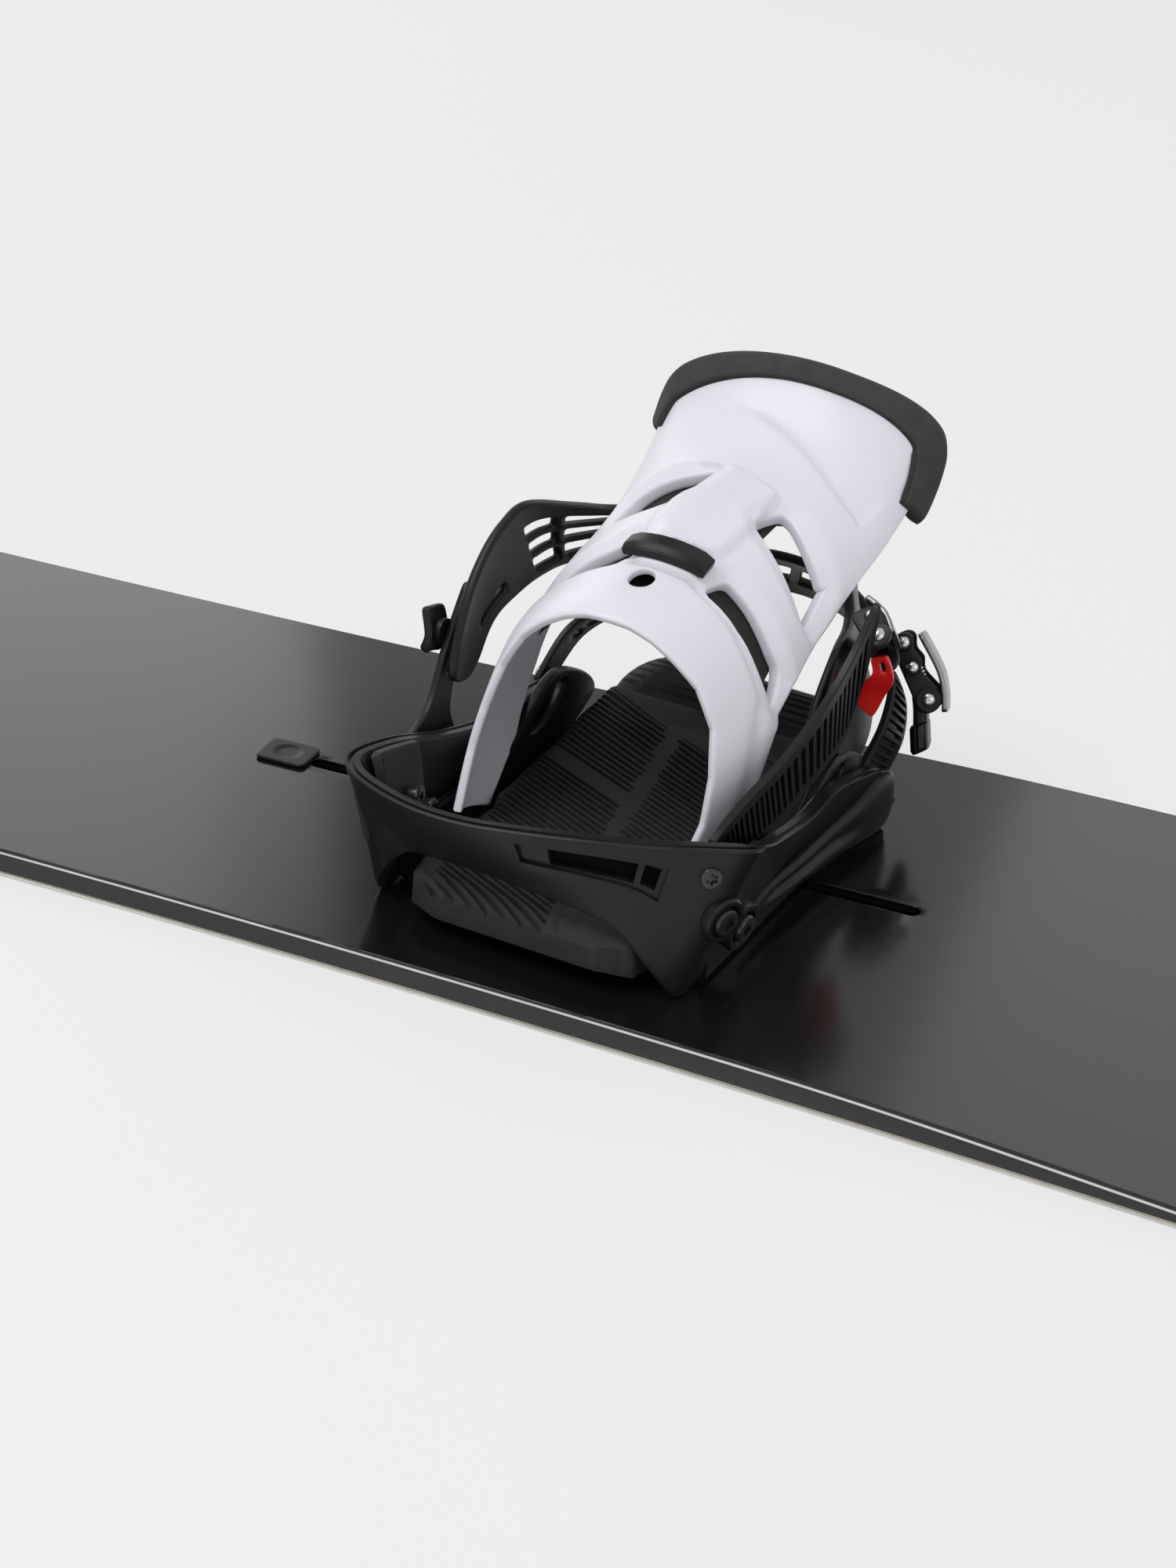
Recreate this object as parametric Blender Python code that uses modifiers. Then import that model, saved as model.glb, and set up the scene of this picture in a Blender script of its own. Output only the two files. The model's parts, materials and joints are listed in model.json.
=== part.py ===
"""Snowboard with a pair of strap bindings, as an assembly of separate parts.

Frame: metres, +Z up. The origin is the centre of the board's flat base, X runs along the
board and +Y is the toe side. The drawings below are in millimetres; MM turns them into metres.
A binding is drawn once in its own frame (origin on the topsheet under its disc, y to the toes,
x to the buckles) and is placed twice: as drawn on the right, mirrored on the left.
"""
import math

import bmesh
import bpy
from mathutils import Matrix, Vector

MM = 0.001
GAP = 0.3                      # clearance between touching parts
PLY_GAP = 0.5                  # clearance between the board's curved layers

# Board
BOARD_LENGTH = 1550.0
WAIST_WIDTH = 252.0
SIDECUT_RADIUS = 7600.0
CONTACT_X = 590.0              # where the sidecut ends and the tips begin
TIP_RISE = 42.0
THICK_MIDDLE = 12.5
THICK_TIP = 6.5
TAPER_FROM_X = 370.0           # full thickness up to here
TAPER_TO_X = 600.0
BOARD_STATIONS = 44
BASE_LAYER = 1.3
TOP_LAYER = 1.5
EDGE_WIDTH = 2.2
SIDEWALL_WIDTH = 6.0

# Channel for the binding screws, relative to a binding's centre
CHANNEL_INBOARD = -152.0
CHANNEL_OUTBOARD = 118.0
CHANNEL_SLOT = 8.0
CHANNEL_CAVITY = 13.0
RAIL_WIDTH = 20.0
RAIL_WALL = 4.0
PLUG_SIZE = (23.0, 19.0, 1.6)
PLUG_OFFSET = -11.0            # from the channel's inboard end

# Binding placement
STANCE_HALF = 280.0
TOE_OUT = 7.8                  # degrees that each binding turns its toes outwards
DISC_RADIUS = 46.0
PIVOT_Y = -68.0                # highback hinge
PIVOT_Z = 21.0
HINGE_RADIUS = 4.8
FLOOR_TOP = 5.2
RAIL_TOP = 24.0
BOLT_SPREAD = 20.0             # channel bolts, from the disc's centre
BOLT_SHANK = 3.0
BOLT_HEAD = 6.8

COLOURS = {
    "topsheet_black": ((0.012, 0.012, 0.013), 0.16, 0.0),
    "base_black": ((0.02, 0.02, 0.022), 0.4, 0.0),
    "wood": ((0.55, 0.40, 0.24), 0.6, 0.0),
    "sidewall": ((0.02, 0.02, 0.02), 0.5, 0.0),
    "steel": ((0.62, 0.62, 0.6), 0.25, 1.0),
    "aluminium": ((0.30, 0.30, 0.31), 0.35, 1.0),
    "nylon_black": ((0.018, 0.018, 0.02), 0.42, 0.0),
    "shell_white": ((0.80, 0.80, 0.86), 0.38, 0.0),
    "foam_grey": ((0.045, 0.043, 0.042), 0.85, 0.0),
    "foam_black": ((0.012, 0.012, 0.012), 0.8, 0.0),
    "release_red": ((0.75, 0.02, 0.015), 0.35, 0.0),
}


def clear_scene():
    for obj in list(bpy.data.objects):
        bpy.data.objects.remove(obj, do_unlink=True)


def collection(name):
    group = bpy.data.collections.new(name)
    bpy.context.scene.collection.children.link(group)
    return group


def make_material(name):
    colour, roughness, metallic = COLOURS[name]
    mat = bpy.data.materials.new(name)
    mat.use_nodes = True
    shader = mat.node_tree.nodes["Principled BSDF"]
    shader.inputs["Base Color"].default_value = (*colour, 1.0)
    shader.inputs["Roughness"].default_value = roughness
    shader.inputs["Metallic"].default_value = metallic
    mat.diffuse_color = (*colour, 1.0)
    return mat


def to_object(bm, name, group, material=None):
    """Turn a bmesh drawn in millimetres into an object in metres."""
    bmesh.ops.scale(bm, vec=(MM, MM, MM), verts=bm.verts)
    bmesh.ops.recalc_face_normals(bm, faces=bm.faces)
    mesh = bpy.data.meshes.new(name)
    bm.to_mesh(mesh)
    bm.free()
    obj = bpy.data.objects.new(name, mesh)
    group.objects.link(obj)
    if material:
        mesh.materials.append(MATERIALS[material])
    return obj


# ---------------------------------------------------------------- shapes, in millimetres

def spline(points, t):
    """Catmull-Rom curve through the points, with t from 0 to 1."""
    last = len(points) - 1
    place = min(max(t, 0.0), 1.0) * last
    i = min(int(place), last - 1)
    f = place - i
    p0, p1, p2, p3 = (Vector(points[min(max(k, 0), last)]) for k in (i - 1, i, i + 1, i + 2))
    return 0.5 * (2 * p1 + (p2 - p0) * f + (2 * p0 - 5 * p1 + 4 * p2 - p3) * f * f
                  + (3 * p1 - p0 - 3 * p2 + p3) * f ** 3)


def loft(bm, rings, loop=False):
    """Skin a row of equal rings; the ends are capped, or joined to each other in a loop."""
    rows = [[bm.verts.new(p) for p in ring] for ring in rings]
    pairs = list(zip(rows, rows[1:]))
    if loop:
        pairs.append((rows[-1], rows[0]))
    n = len(rows[0])
    for a, b in pairs:
        for i in range(n):
            bm.faces.new((a[i], a[(i + 1) % n], b[(i + 1) % n], b[i]))
    if not loop:
        bm.faces.new(rows[0][::-1])
        bm.faces.new(rows[-1])


def prism(bm, outline, z0, z1):
    """Upright prism on a closed outline of (x, y)."""
    face = bm.faces.new([bm.verts.new((x, y, z0)) for x, y in outline])
    grown = bmesh.ops.extrude_face_region(bm, geom=[face])
    top = [v for v in grown["geom"] if isinstance(v, bmesh.types.BMVert)]
    bmesh.ops.translate(bm, verts=top, vec=(0, 0, z1 - z0))


def block(bm, low, high):
    size = [h - l for l, h in zip(low, high)]
    middle = [(h + l) / 2 for l, h in zip(low, high)]
    place = Matrix.Translation(middle) @ Matrix.Diagonal((*size, 1))
    bmesh.ops.create_cube(bm, size=1.0, matrix=place)


def cylinder(bm, start, end, radius, end_radius=None, sides=16):
    start, end = Vector(start), Vector(end)
    way = end - start
    turn = way.to_track_quat("Z", "Y").to_matrix().to_4x4()
    place = Matrix.Translation((start + end) / 2) @ turn
    bmesh.ops.create_cone(bm, cap_ends=True, segments=sides, radius1=radius,
                          radius2=radius if end_radius is None else end_radius,
                          depth=way.length, matrix=place)


def stadium(x0, x1, width, steps=6):
    """Slot outline along X with round ends."""
    r = width / 2
    right = [(x1 - r + r * math.cos(a), r * math.sin(a))
             for a in (math.pi * (k / steps - 0.5) for k in range(steps + 1))]
    left = [(x0 + r - r * math.cos(a), -r * math.sin(a))
            for a in (math.pi * (k / steps - 0.5) for k in range(steps + 1))]
    return right + left


# ---------------------------------------------------------------- board

def half_width(x):
    x = abs(x)
    if x <= CONTACT_X:
        return WAIST_WIDTH / 2 + x * x / (2 * SIDECUT_RADIUS)
    t = (x - CONTACT_X) / (BOARD_LENGTH / 2 - CONTACT_X)
    widest = WAIST_WIDTH / 2 + CONTACT_X ** 2 / (2 * SIDECUT_RADIUS)
    return widest * math.sqrt(max(1 - t ** 2.3, 0.0))


def base_height(x):
    t = max(abs(x) - CONTACT_X + 25, 0) / (BOARD_LENGTH / 2 - CONTACT_X + 25)
    return TIP_RISE * t * t


def thickness(x):
    t = min(max((TAPER_TO_X - abs(x)) / (TAPER_TO_X - TAPER_FROM_X), 0), 1)
    return THICK_TIP + (THICK_MIDDLE - THICK_TIP) * t * t * (3 - 2 * t)


def board_stations(count):
    """Places along the board, closer together towards the tips."""
    half = BOARD_LENGTH / 2
    return [half * math.sin(math.pi / 2 * (2 * k / count - 1)) for k in range(1, count)]


def layer(bm, low, high, inset):
    """One sheet of the board; low and high give its height above the base at each x."""
    shrink_x = 1 - inset / (BOARD_LENGTH / 2)
    shrink_y = 1 - inset / (WAIST_WIDTH / 2)
    rings = []
    for station in board_stations(BOARD_STATIONS):
        x = station * shrink_x
        y = half_width(station) * shrink_y
        z = base_height(x)
        rings.append([(x, -y, z + low(x)), (x, y, z + low(x)), (x, y, z + high(x)), (x, -y, z + high(x))])
    loft(bm, rings)


def rim(bm, low, high, width):
    """Closed band round the board's outline."""
    xs = board_stations(BOARD_STATIONS)
    trip = [(x, 1) for x in xs] + [(x, -1) for x in reversed(xs)]
    shrink_x = 1 - width / (BOARD_LENGTH / 2)
    rings = []
    for x, side in trip:
        outer = (x, side * half_width(x))
        inner = (x * shrink_x, side * half_width(x) * (1 - width / (WAIST_WIDTH / 2)))
        ring = [(*outer, low), (*inner, low), (*inner, high), (*outer, high)]
        rings.append([(px, y, base_height(px) + level(px)) for px, y, level in ring])
    loft(bm, rings, loop=True)


def cut(obj, cutter, operation="DIFFERENCE"):
    mod = obj.modifiers.new("cut_" + cutter.name, "BOOLEAN")
    mod.operation = operation
    mod.object = cutter
    mod.solver = "EXACT"
    cutter.display_type = "WIRE"
    cutter.hide_render = True


def channel_span(side):
    inner, outer = STANCE_HALF + CHANNEL_INBOARD, STANCE_HALF + CHANNEL_OUTBOARD
    return (inner, outer) if side > 0 else (-outer, -inner)


def rail_floor():
    return BASE_LAYER + 1.6


def build_board():
    top = thickness
    sheets = {
        "base_sheet": (lambda x: 0.0, lambda x: BASE_LAYER, EDGE_WIDTH + PLY_GAP, "base_black"),
        "core": (lambda x: BASE_LAYER + PLY_GAP, lambda x: top(x) - TOP_LAYER - PLY_GAP,
                 SIDEWALL_WIDTH + PLY_GAP, "wood"),
        "topsheet": (lambda x: top(x) - TOP_LAYER, lambda x: top(x), 0.0, "topsheet_black"),
    }
    made = {}
    for name, (low, high, inset, material) in sheets.items():
        bm = bmesh.new()
        layer(bm, low, high, inset)
        made[name] = to_object(bm, name, PARTS, material)
    bm = bmesh.new()
    rim(bm, lambda x: 0.0, lambda x: BASE_LAYER, EDGE_WIDTH)
    to_object(bm, "steel_edge", PARTS, "steel")
    bm = bmesh.new()
    rim(bm, lambda x: BASE_LAYER + PLY_GAP, lambda x: top(x) - TOP_LAYER - PLY_GAP, SIDEWALL_WIDTH)
    to_object(bm, "sidewall", PARTS, "sidewall")
    for side, hand in ((1, "right"), (-1, "left")):
        build_channel(side, hand, made)


def build_channel(side, hand, made):
    """Slotted rail let into the core, the slot in the topsheet and the plug at its inboard end."""
    x0, x1 = channel_span(side)
    surface = thickness(STANCE_HALF)
    slot = bmesh.new()
    prism(slot, stadium(x0, x1, CHANNEL_SLOT), 3.0, 30.0)
    slot_cutter = to_object(slot, "slot_cutter_" + hand, CUTTERS)
    cut(made["topsheet"], slot_cutter)
    pocket = bmesh.new()
    w = RAIL_WIDTH / 2 + RAIL_WALL / 2 + GAP
    block(pocket, (x0 - RAIL_WALL - GAP, -w, rail_floor()), (x1 + RAIL_WALL + GAP, w, 30))
    cut(made["core"], to_object(pocket, "pocket_cutter_" + hand, CUTTERS))
    end = STANCE_HALF + CHANNEL_OUTBOARD + RAIL_WALL
    rail_top = thickness(end) - TOP_LAYER - GAP
    bm = bmesh.new()
    block(bm, (x0 - RAIL_WALL, -RAIL_WIDTH / 2, rail_floor() + GAP),
          (x1 + RAIL_WALL, RAIL_WIDTH / 2, rail_top))
    rail = to_object(bm, "channel_rail_" + hand, PARTS, "nylon_black")
    groove = bmesh.new()
    prism(groove, stadium(x0, x1, CHANNEL_SLOT), rail_floor() + 2.0, 30.0)
    cut(rail, to_object(groove, "groove_cutter_" + hand, CUTTERS))
    cavity = bmesh.new()
    prism(cavity, stadium(x0, x1, CHANNEL_CAVITY), rail_floor() + 1.5, rail_top - 1.6)
    cut(rail, to_object(cavity, "cavity_cutter_" + hand, CUTTERS))
    length, width, height = PLUG_SIZE
    middle = side * (STANCE_HALF + CHANNEL_INBOARD + PLUG_OFFSET)
    z = thickness(middle) + 0.25
    bm = bmesh.new()
    block(bm, (middle - length / 2, -width / 2, z), (middle + length / 2, width / 2, z + height))
    plug = to_object(bm, "channel_plug_" + hand, PARTS, "nylon_black")
    soften(plug, 0.8)


def soften(obj, width, segments=2, angle=35):
    mod = obj.modifiers.new("soften", "BEVEL")
    mod.width = width * MM
    mod.segments = segments
    mod.limit_method = "ANGLE"
    mod.angle_limit = math.radians(angle)


# ---------------------------------------------------------------- binding, in its own frame

# Outer face of the baseplate wall as (bottom point, top point), from the left toe wing round the
# heel hoop to the right toe wing.
WALL = (
    ((-78, 72, 1), (-79, 72, 15)),
    ((-76, 62, 1), (-75, 62, 33)),
    ((-73, 41, 4), (-74, 44, 37)),
    ((-71, 15, 11), (-72, 20, 41)),
    ((-70, -13, 13), (-71, -8, 41)),
    ((-70, -45, 9), (-74, -42, 47)),
    ((-70, -72, 4), (-79, -72, 55)),
    ((-70, -94, 1), (-84, -92, 56)),
    ((-64, -103, 14), (-79, -103, 56)),
    ((-52, -105, 27), (-66, -111, 56)),
    ((-36, -107, 30), (-44, -117, 56)),
    ((-14, -108, 31), (-22, -118, 57)),
    ((7, -109, 31), (0, -115, 59)),
    ((27, -109, 30), (24, -109, 61)),
    ((43, -109, 27), (46, -101, 62)),
    ((54, -106, 14), (62, -94, 63)),
    ((65, -98, 1), (79, -79, 61)),
    ((66, -74, 3), (76, -62, 54)),
    ((66, -48, 8), (74, -45, 47)),
    ((67, -13, 13), (71.5, -5, 38)),
    ((69, 15, 11), (72, 21, 40)),
    ((72, 41, 4), (74, 46, 36)),
    ((76, 62, 1), (76, 64, 31)),
    ((78, 73, 1), (79, 73, 15)),
)
WALL_THICKNESS = 5.0
WALL_LIP = 2.0
WALL_SAMPLES = 60


def build_baseplate(group):
    """Walls and heel hoop in one sweep, joined to the floor and to a low rail along each side."""
    bottoms = [w[0] for w in WALL]
    tops = [w[1] for w in WALL]
    rings = []
    for k in range(WALL_SAMPLES + 1):
        t = k / WALL_SAMPLES
        low, high = spline(bottoms, t), spline(tops, t)
        low.z = max(low.z, 2 * GAP)
        ahead = direction(tops, t) + direction(bottoms, t)
        inward = Vector((-ahead.y, ahead.x, 0)).normalized() * WALL_THICKNESS
        lip = inward.normalized() * -WALL_LIP
        rings.append([low, low + (high - low) * 0.86, high + lip - Vector((0, 0, 3)), high + lip,
                      high + inward, high + inward - Vector((0, 0, 6)), low + inward])
    bm = bmesh.new()
    loft(bm, rings)
    plate = to_object(bm, "baseplate", group, "nylon_black")
    floor = bmesh.new()
    right = [(63, -84), (66.5, -40), (67, 0), (71, 40), (74, 66)]
    prism(floor, [(-x, y) for x, y in reversed(right)] + right, 0.6, FLOOR_TOP)
    cut(plate, to_object(floor, "floor_block", CUTTERS), "UNION")
    for side in (1, -1):
        rail = bmesh.new()
        rail_line = ((60, -84), (68, -84), (68.5, 0), (75, 55), (67, 55), (60, 0))
        prism(rail, [(side * x, y) for x, y in rail_line][::side], 0.6, RAIL_TOP)
        cut(plate, to_object(rail, f"rail_block_{side}", CUTTERS), "UNION")
    hole = bmesh.new()
    cylinder(hole, (0, 0, -5), (0, 0, 30), DISC_RADIUS + GAP, sides=36)
    cut(plate, to_object(hole, "disc_cutter", CUTTERS))
    for side in (1, -1):
        bore = bmesh.new()
        cylinder(bore, (side * 55, PIVOT_Y, PIVOT_Z), (side * 100, PIVOT_Y, PIVOT_Z), HINGE_RADIUS + GAP)
        cut(plate, to_object(bore, f"pivot_cutter_{side}", CUTTERS))


# Stations of the foam deck as (y, half width, underside z, upper z)
FOOTBED = ((-112, 38, 8, 21), (-104, 44, 6, 22), (-91, 47, 6, 22), (-40, 47, 6, 20),
           (-28, 54, 6, 20), (20, 57, 6, 20), (60, 59, 6, 23), (78, 58, 6, 26))
TOE_RAMP = ((78.4, 58, 3, 26.3), (95, 55, 2.5, 31), (108, 46, 2.5, 33), (114, 36, 6, 31))


def build_deck(group):
    """Footbed, toe ramp, mounting disc and its bolts, which stay in line with the channel."""
    decks = (("footbed", FOOTBED, "foam_black"), ("toe_ramp", TOE_RAMP, "nylon_black"))
    for name, stations, material in decks:
        bm = bmesh.new()
        loft(bm, [[(-half, y, z0), (half, y, z0), (half, y, z1), (-half, y, z1)]
                  for y, half, z0, z1 in stations])
        to_object(bm, name, group, material)
    bm = bmesh.new()
    cylinder(bm, (0, 0, 0.6), (0, 0, FLOOR_TOP), DISC_RADIUS, sides=36)
    disc = to_object(bm, "mounting_disc", group, "nylon_black")
    turn = math.radians(TOE_OUT)
    for name, reach in (("inboard", -BOLT_SPREAD), ("outboard", BOLT_SPREAD)):
        x, y = reach * math.cos(turn), reach * math.sin(turn)
        for radius, start in ((BOLT_SHANK + GAP, -5), (BOLT_HEAD + GAP, 2.2)):
            bore = bmesh.new()
            cylinder(bore, (x, y, start), (x, y, 9), radius)
            cut(disc, to_object(bore, f"bolt_cutter_{name}_{radius:.0f}", CUTTERS))
        turned(group, "channel_bolt_" + name, (x, y), CHANNEL_BOLT, "steel")


# Screw and nut of a channel bolt as (radius, z), from the top down its outer side
CHANNEL_BOLT = ((0, 4.8), (BOLT_HEAD, 4.8), (BOLT_HEAD, 2.6), (BOLT_SHANK, 2.6), (BOLT_SHANK, -4.0),
                (5.4, -4.0), (5.4, -6.2), (0, -6.2))


def turned(group, name, centre, profile, material, sides=16):
    """Solid turned about an upright axis."""
    mesh = bpy.data.meshes.new(name)
    mesh.from_pydata([(r * MM, 0, z * MM) for r, z in profile],
                     [(i, i + 1) for i in range(len(profile) - 1)], [])
    obj = bpy.data.objects.new(name, mesh)
    group.objects.link(obj)
    obj.location = (centre[0] * MM, centre[1] * MM, 0)
    mesh.materials.append(MATERIALS[material])
    screw = obj.modifiers.new("turn", "SCREW")
    screw.steps = screw.render_steps = sides
    screw.use_merge_vertices = True
    screw.merge_threshold = 0.0001


def build_hinges(group):
    for name, start, end in (("outer", 61, 77), ("inner", -65.5, -78)):
        bm = bmesh.new()
        cylinder(bm, (start, PIVOT_Y, PIVOT_Z), (end, PIVOT_Y, PIVOT_Z), HINGE_RADIUS, sides=14)
        to_object(bm, "highback_bolt_" + name, group, "steel")


# Highback rows from the leg ends to the top: middle (x, y, z), edge (y, z) and half width. The
# legs sit a little towards the inner side, which leaves room for the ladder on the outer side.
HIGHBACK_ROWS = (
    ((-1.5, -104, 46), (-50, 21), 57.5),
    ((-2.5, -87, 78), (-27, 42), 62),
    ((-2.5, -53, 117), (-10, 62), 63),
    ((-2, -23, 127), (4, 75), 61.5),
    ((-1.5, 2, 133), (17, 86), 60),
    ((-1, 23, 137), (34, 96), 59),
    ((0, 50, 141), (58, 109), 58),
    ((0, 74, 146), (82, 121), 59),
    ((0, 95, 160), (102, 135), 60),
    ((0, 112, 176), (117, 154), 60),
)
SECTION_ANGLE = math.radians(75)
SHELL = 3.6
RIM_CLEARANCE = 1.3
RIM_INNER = 4.0                # half the foam's thickness at the shell and at its outer side
RIM_OUTER = 3.0
# Right half of the arch between the legs, as (u, v) on the shell from the leg end to the crown
ARCH = ((0.74, 0.0), (0.74, 0.087), (0.69, 0.14), (0.615, 0.183), (0.49, 0.209),
        (0.35, 0.221), (0.11, 0.235))
UPPER_WINDOW = ((0.24, 0.62), (0.34, 0.673), (0.46, 0.653), (0.755, 0.606), (0.81, 0.51),
                (0.58, 0.548), (0.30, 0.602))
LOWER_WINDOW = ((0.287, 0.38), (0.337, 0.427), (0.51, 0.413), (0.805, 0.357), (0.846, 0.29),
                (0.65, 0.33), (0.39, 0.369))


def highback_point(u, v, depth=0.0):
    """Point of the shell: u from -1 (left edge) to 1, v from 0 (legs) to 1 (top), depth inwards."""
    def surface(a, b):
        if b < 0:
            return surface(a, 0) + (surface(a, 0) - surface(a, 0.02)) * (-b / 0.02)
        mid = spline([r[0] for r in HIGHBACK_ROWS], b)
        edge = spline([(0, *r[1]) for r in HIGHBACK_ROWS], b)
        half = spline([(r[2], 0, 0) for r in HIGHBACK_ROWS], b).x
        phi = SECTION_ANGLE * a
        sink = (1 - math.cos(phi)) / (1 - math.cos(SECTION_ANGLE))
        return Vector((mid.x + half * math.sin(phi) / math.sin(SECTION_ANGLE),
                       mid.y + (edge.y - mid.y) * sink, mid.z + (edge.z - mid.z) * sink))
    p = surface(u, v)
    if depth:
        e = 0.01
        du = surface(u + e, v) - surface(u - e, v)
        dv = surface(u, min(v + e, 1)) - surface(u, min(v, 1 - e) - e)
        p = p - du.cross(dv).normalized() * depth
    return p


def mirrored(points):
    return [(-u, v) for u, v in reversed(points)]


def mapped_sheet(name, outlines, place, grid_u, grid_v):
    """Flat outline with holes, cut along a grid and bent into shape; place(u, v, side) is a point."""
    curve = bpy.data.curves.new(name, "CURVE")
    curve.dimensions = "2D"
    curve.fill_mode = "BOTH"
    curve.extrude = 0.5
    for outline in outlines:
        line = curve.splines.new("POLY")
        line.points.add(len(outline) - 1)
        for point, (u, v) in zip(line.points, outline):
            point.co = (u, v, 0, 1)
        line.use_cyclic_u = True
    flat = bpy.data.objects.new(name + "_flat", curve)
    CUTTERS.objects.link(flat)
    bpy.context.view_layer.update()
    mesh = bpy.data.meshes.new_from_object(flat.evaluated_get(bpy.context.evaluated_depsgraph_get()))
    bpy.data.objects.remove(flat, do_unlink=True)
    bm = bmesh.new()
    bm.from_mesh(mesh)
    bmesh.ops.remove_doubles(bm, verts=bm.verts, dist=0.0001)
    for axis, values in ((0, grid_u), (1, grid_v)):
        for value in values:
            co, no = Vector(), Vector()
            co[axis], no[axis] = value, 1
            everything = list(bm.verts) + list(bm.edges) + list(bm.faces)
            bmesh.ops.bisect_plane(bm, geom=everything, plane_co=co, plane_no=no, dist=0.0001)
    bmesh.ops.triangulate(bm, faces=[f for f in bm.faces if len(f.verts) > 4])
    for vert in bm.verts:
        vert.co = place(vert.co.x, vert.co.y, 0 if vert.co.z < 0 else 1)
    return bm


def steps(start, end, count):
    """Evenly spaced values strictly between two ends."""
    return [start + (end - start) * k / count for k in range(1, count)]


def shell_patch(bm, u0, u1, v0, v1, outer, inner, nu, nv):
    """Solid patch of the highback surface between two depths."""
    rings = []
    for k in range(nv + 1):
        v = v0 + (v1 - v0) * k / nv
        us = [u0 + (u1 - u0) * i / nu for i in range(nu + 1)]
        rings.append([highback_point(u, v, outer) for u in us]
                     + [highback_point(u, v, inner) for u in reversed(us)])
    loft(bm, rings)


def build_highback(group):
    """Moulded shell with its arch and four windows, its foam rim and pad, and the lean adjuster."""
    body = [(-1, 0)] + mirrored(ARCH[::-1]) + list(ARCH)[::-1] + [(1, 0), (1, 1), (-1, 1)]
    holes = []
    for hole in (UPPER_WINDOW, LOWER_WINDOW):
        holes += [list(hole), mirrored(hole)]
    bm = mapped_sheet("highback", [body] + holes,
                      lambda u, v, side: highback_point(u, v, SHELL * side),
                      steps(-1, 1, 10), steps(0, 1, 13))
    to_object(bm, "highback", group, "shell_white")
    build_rim(group)
    bm = bmesh.new()
    shell_patch(bm, -0.72, 0.72, 0.36, 0.80, SHELL + GAP + 1, SHELL + 5, 10, 8)
    to_object(bm, "highback_pad", group, "foam_black")
    bm = bmesh.new()
    shell_patch(bm, -0.21, 0.25, 0.39, 0.44, -5.5, -GAP, 4, 1)
    to_object(bm, "lean_adjuster", group, "nylon_black")


def build_rim(group):
    """Foam band round the shell's top edge, standing clear of it."""
    path = rim_path()
    last = len(path) - 1
    rings = []
    for i, (u, v, width) in enumerate(path):
        middle = highback_point(u, v, SHELL / 2)
        up = (highback_point(u, v, -SHELL) - middle).normalized()
        before, after = path[max(i - 1, 0)], path[min(i + 1, last)]
        ahead = highback_point(*after[:2]) - highback_point(*before[:2])
        out = up.cross(ahead).normalized()
        at_corner = abs(u) == 1 and v == 1
        base = middle + out * RIM_CLEARANCE * (2 if at_corner else 1)
        tip = base + out * width
        rings.append([base - up * RIM_INNER, tip - up * RIM_OUTER, tip + up * RIM_OUTER, base + up * RIM_INNER])
    bm = bmesh.new()
    loft(bm, rings)
    to_object(bm, "highback_rim", group, "foam_grey")


def rim_path():
    """(u, v, width) along the foam rim, from its left tip over the top to its right tip."""
    count = 14
    side = [(-1, 0.86 + 0.04 * k, 4 + 1.5 * k) for k in range(3)] + [(-1, 1, 8.5)]
    top = [(-1 + 2 * k / count, 1, 9.5) for k in range(1, count)]
    return side + top + [(-u, v, w) for u, v, w in reversed(side)]


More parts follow.
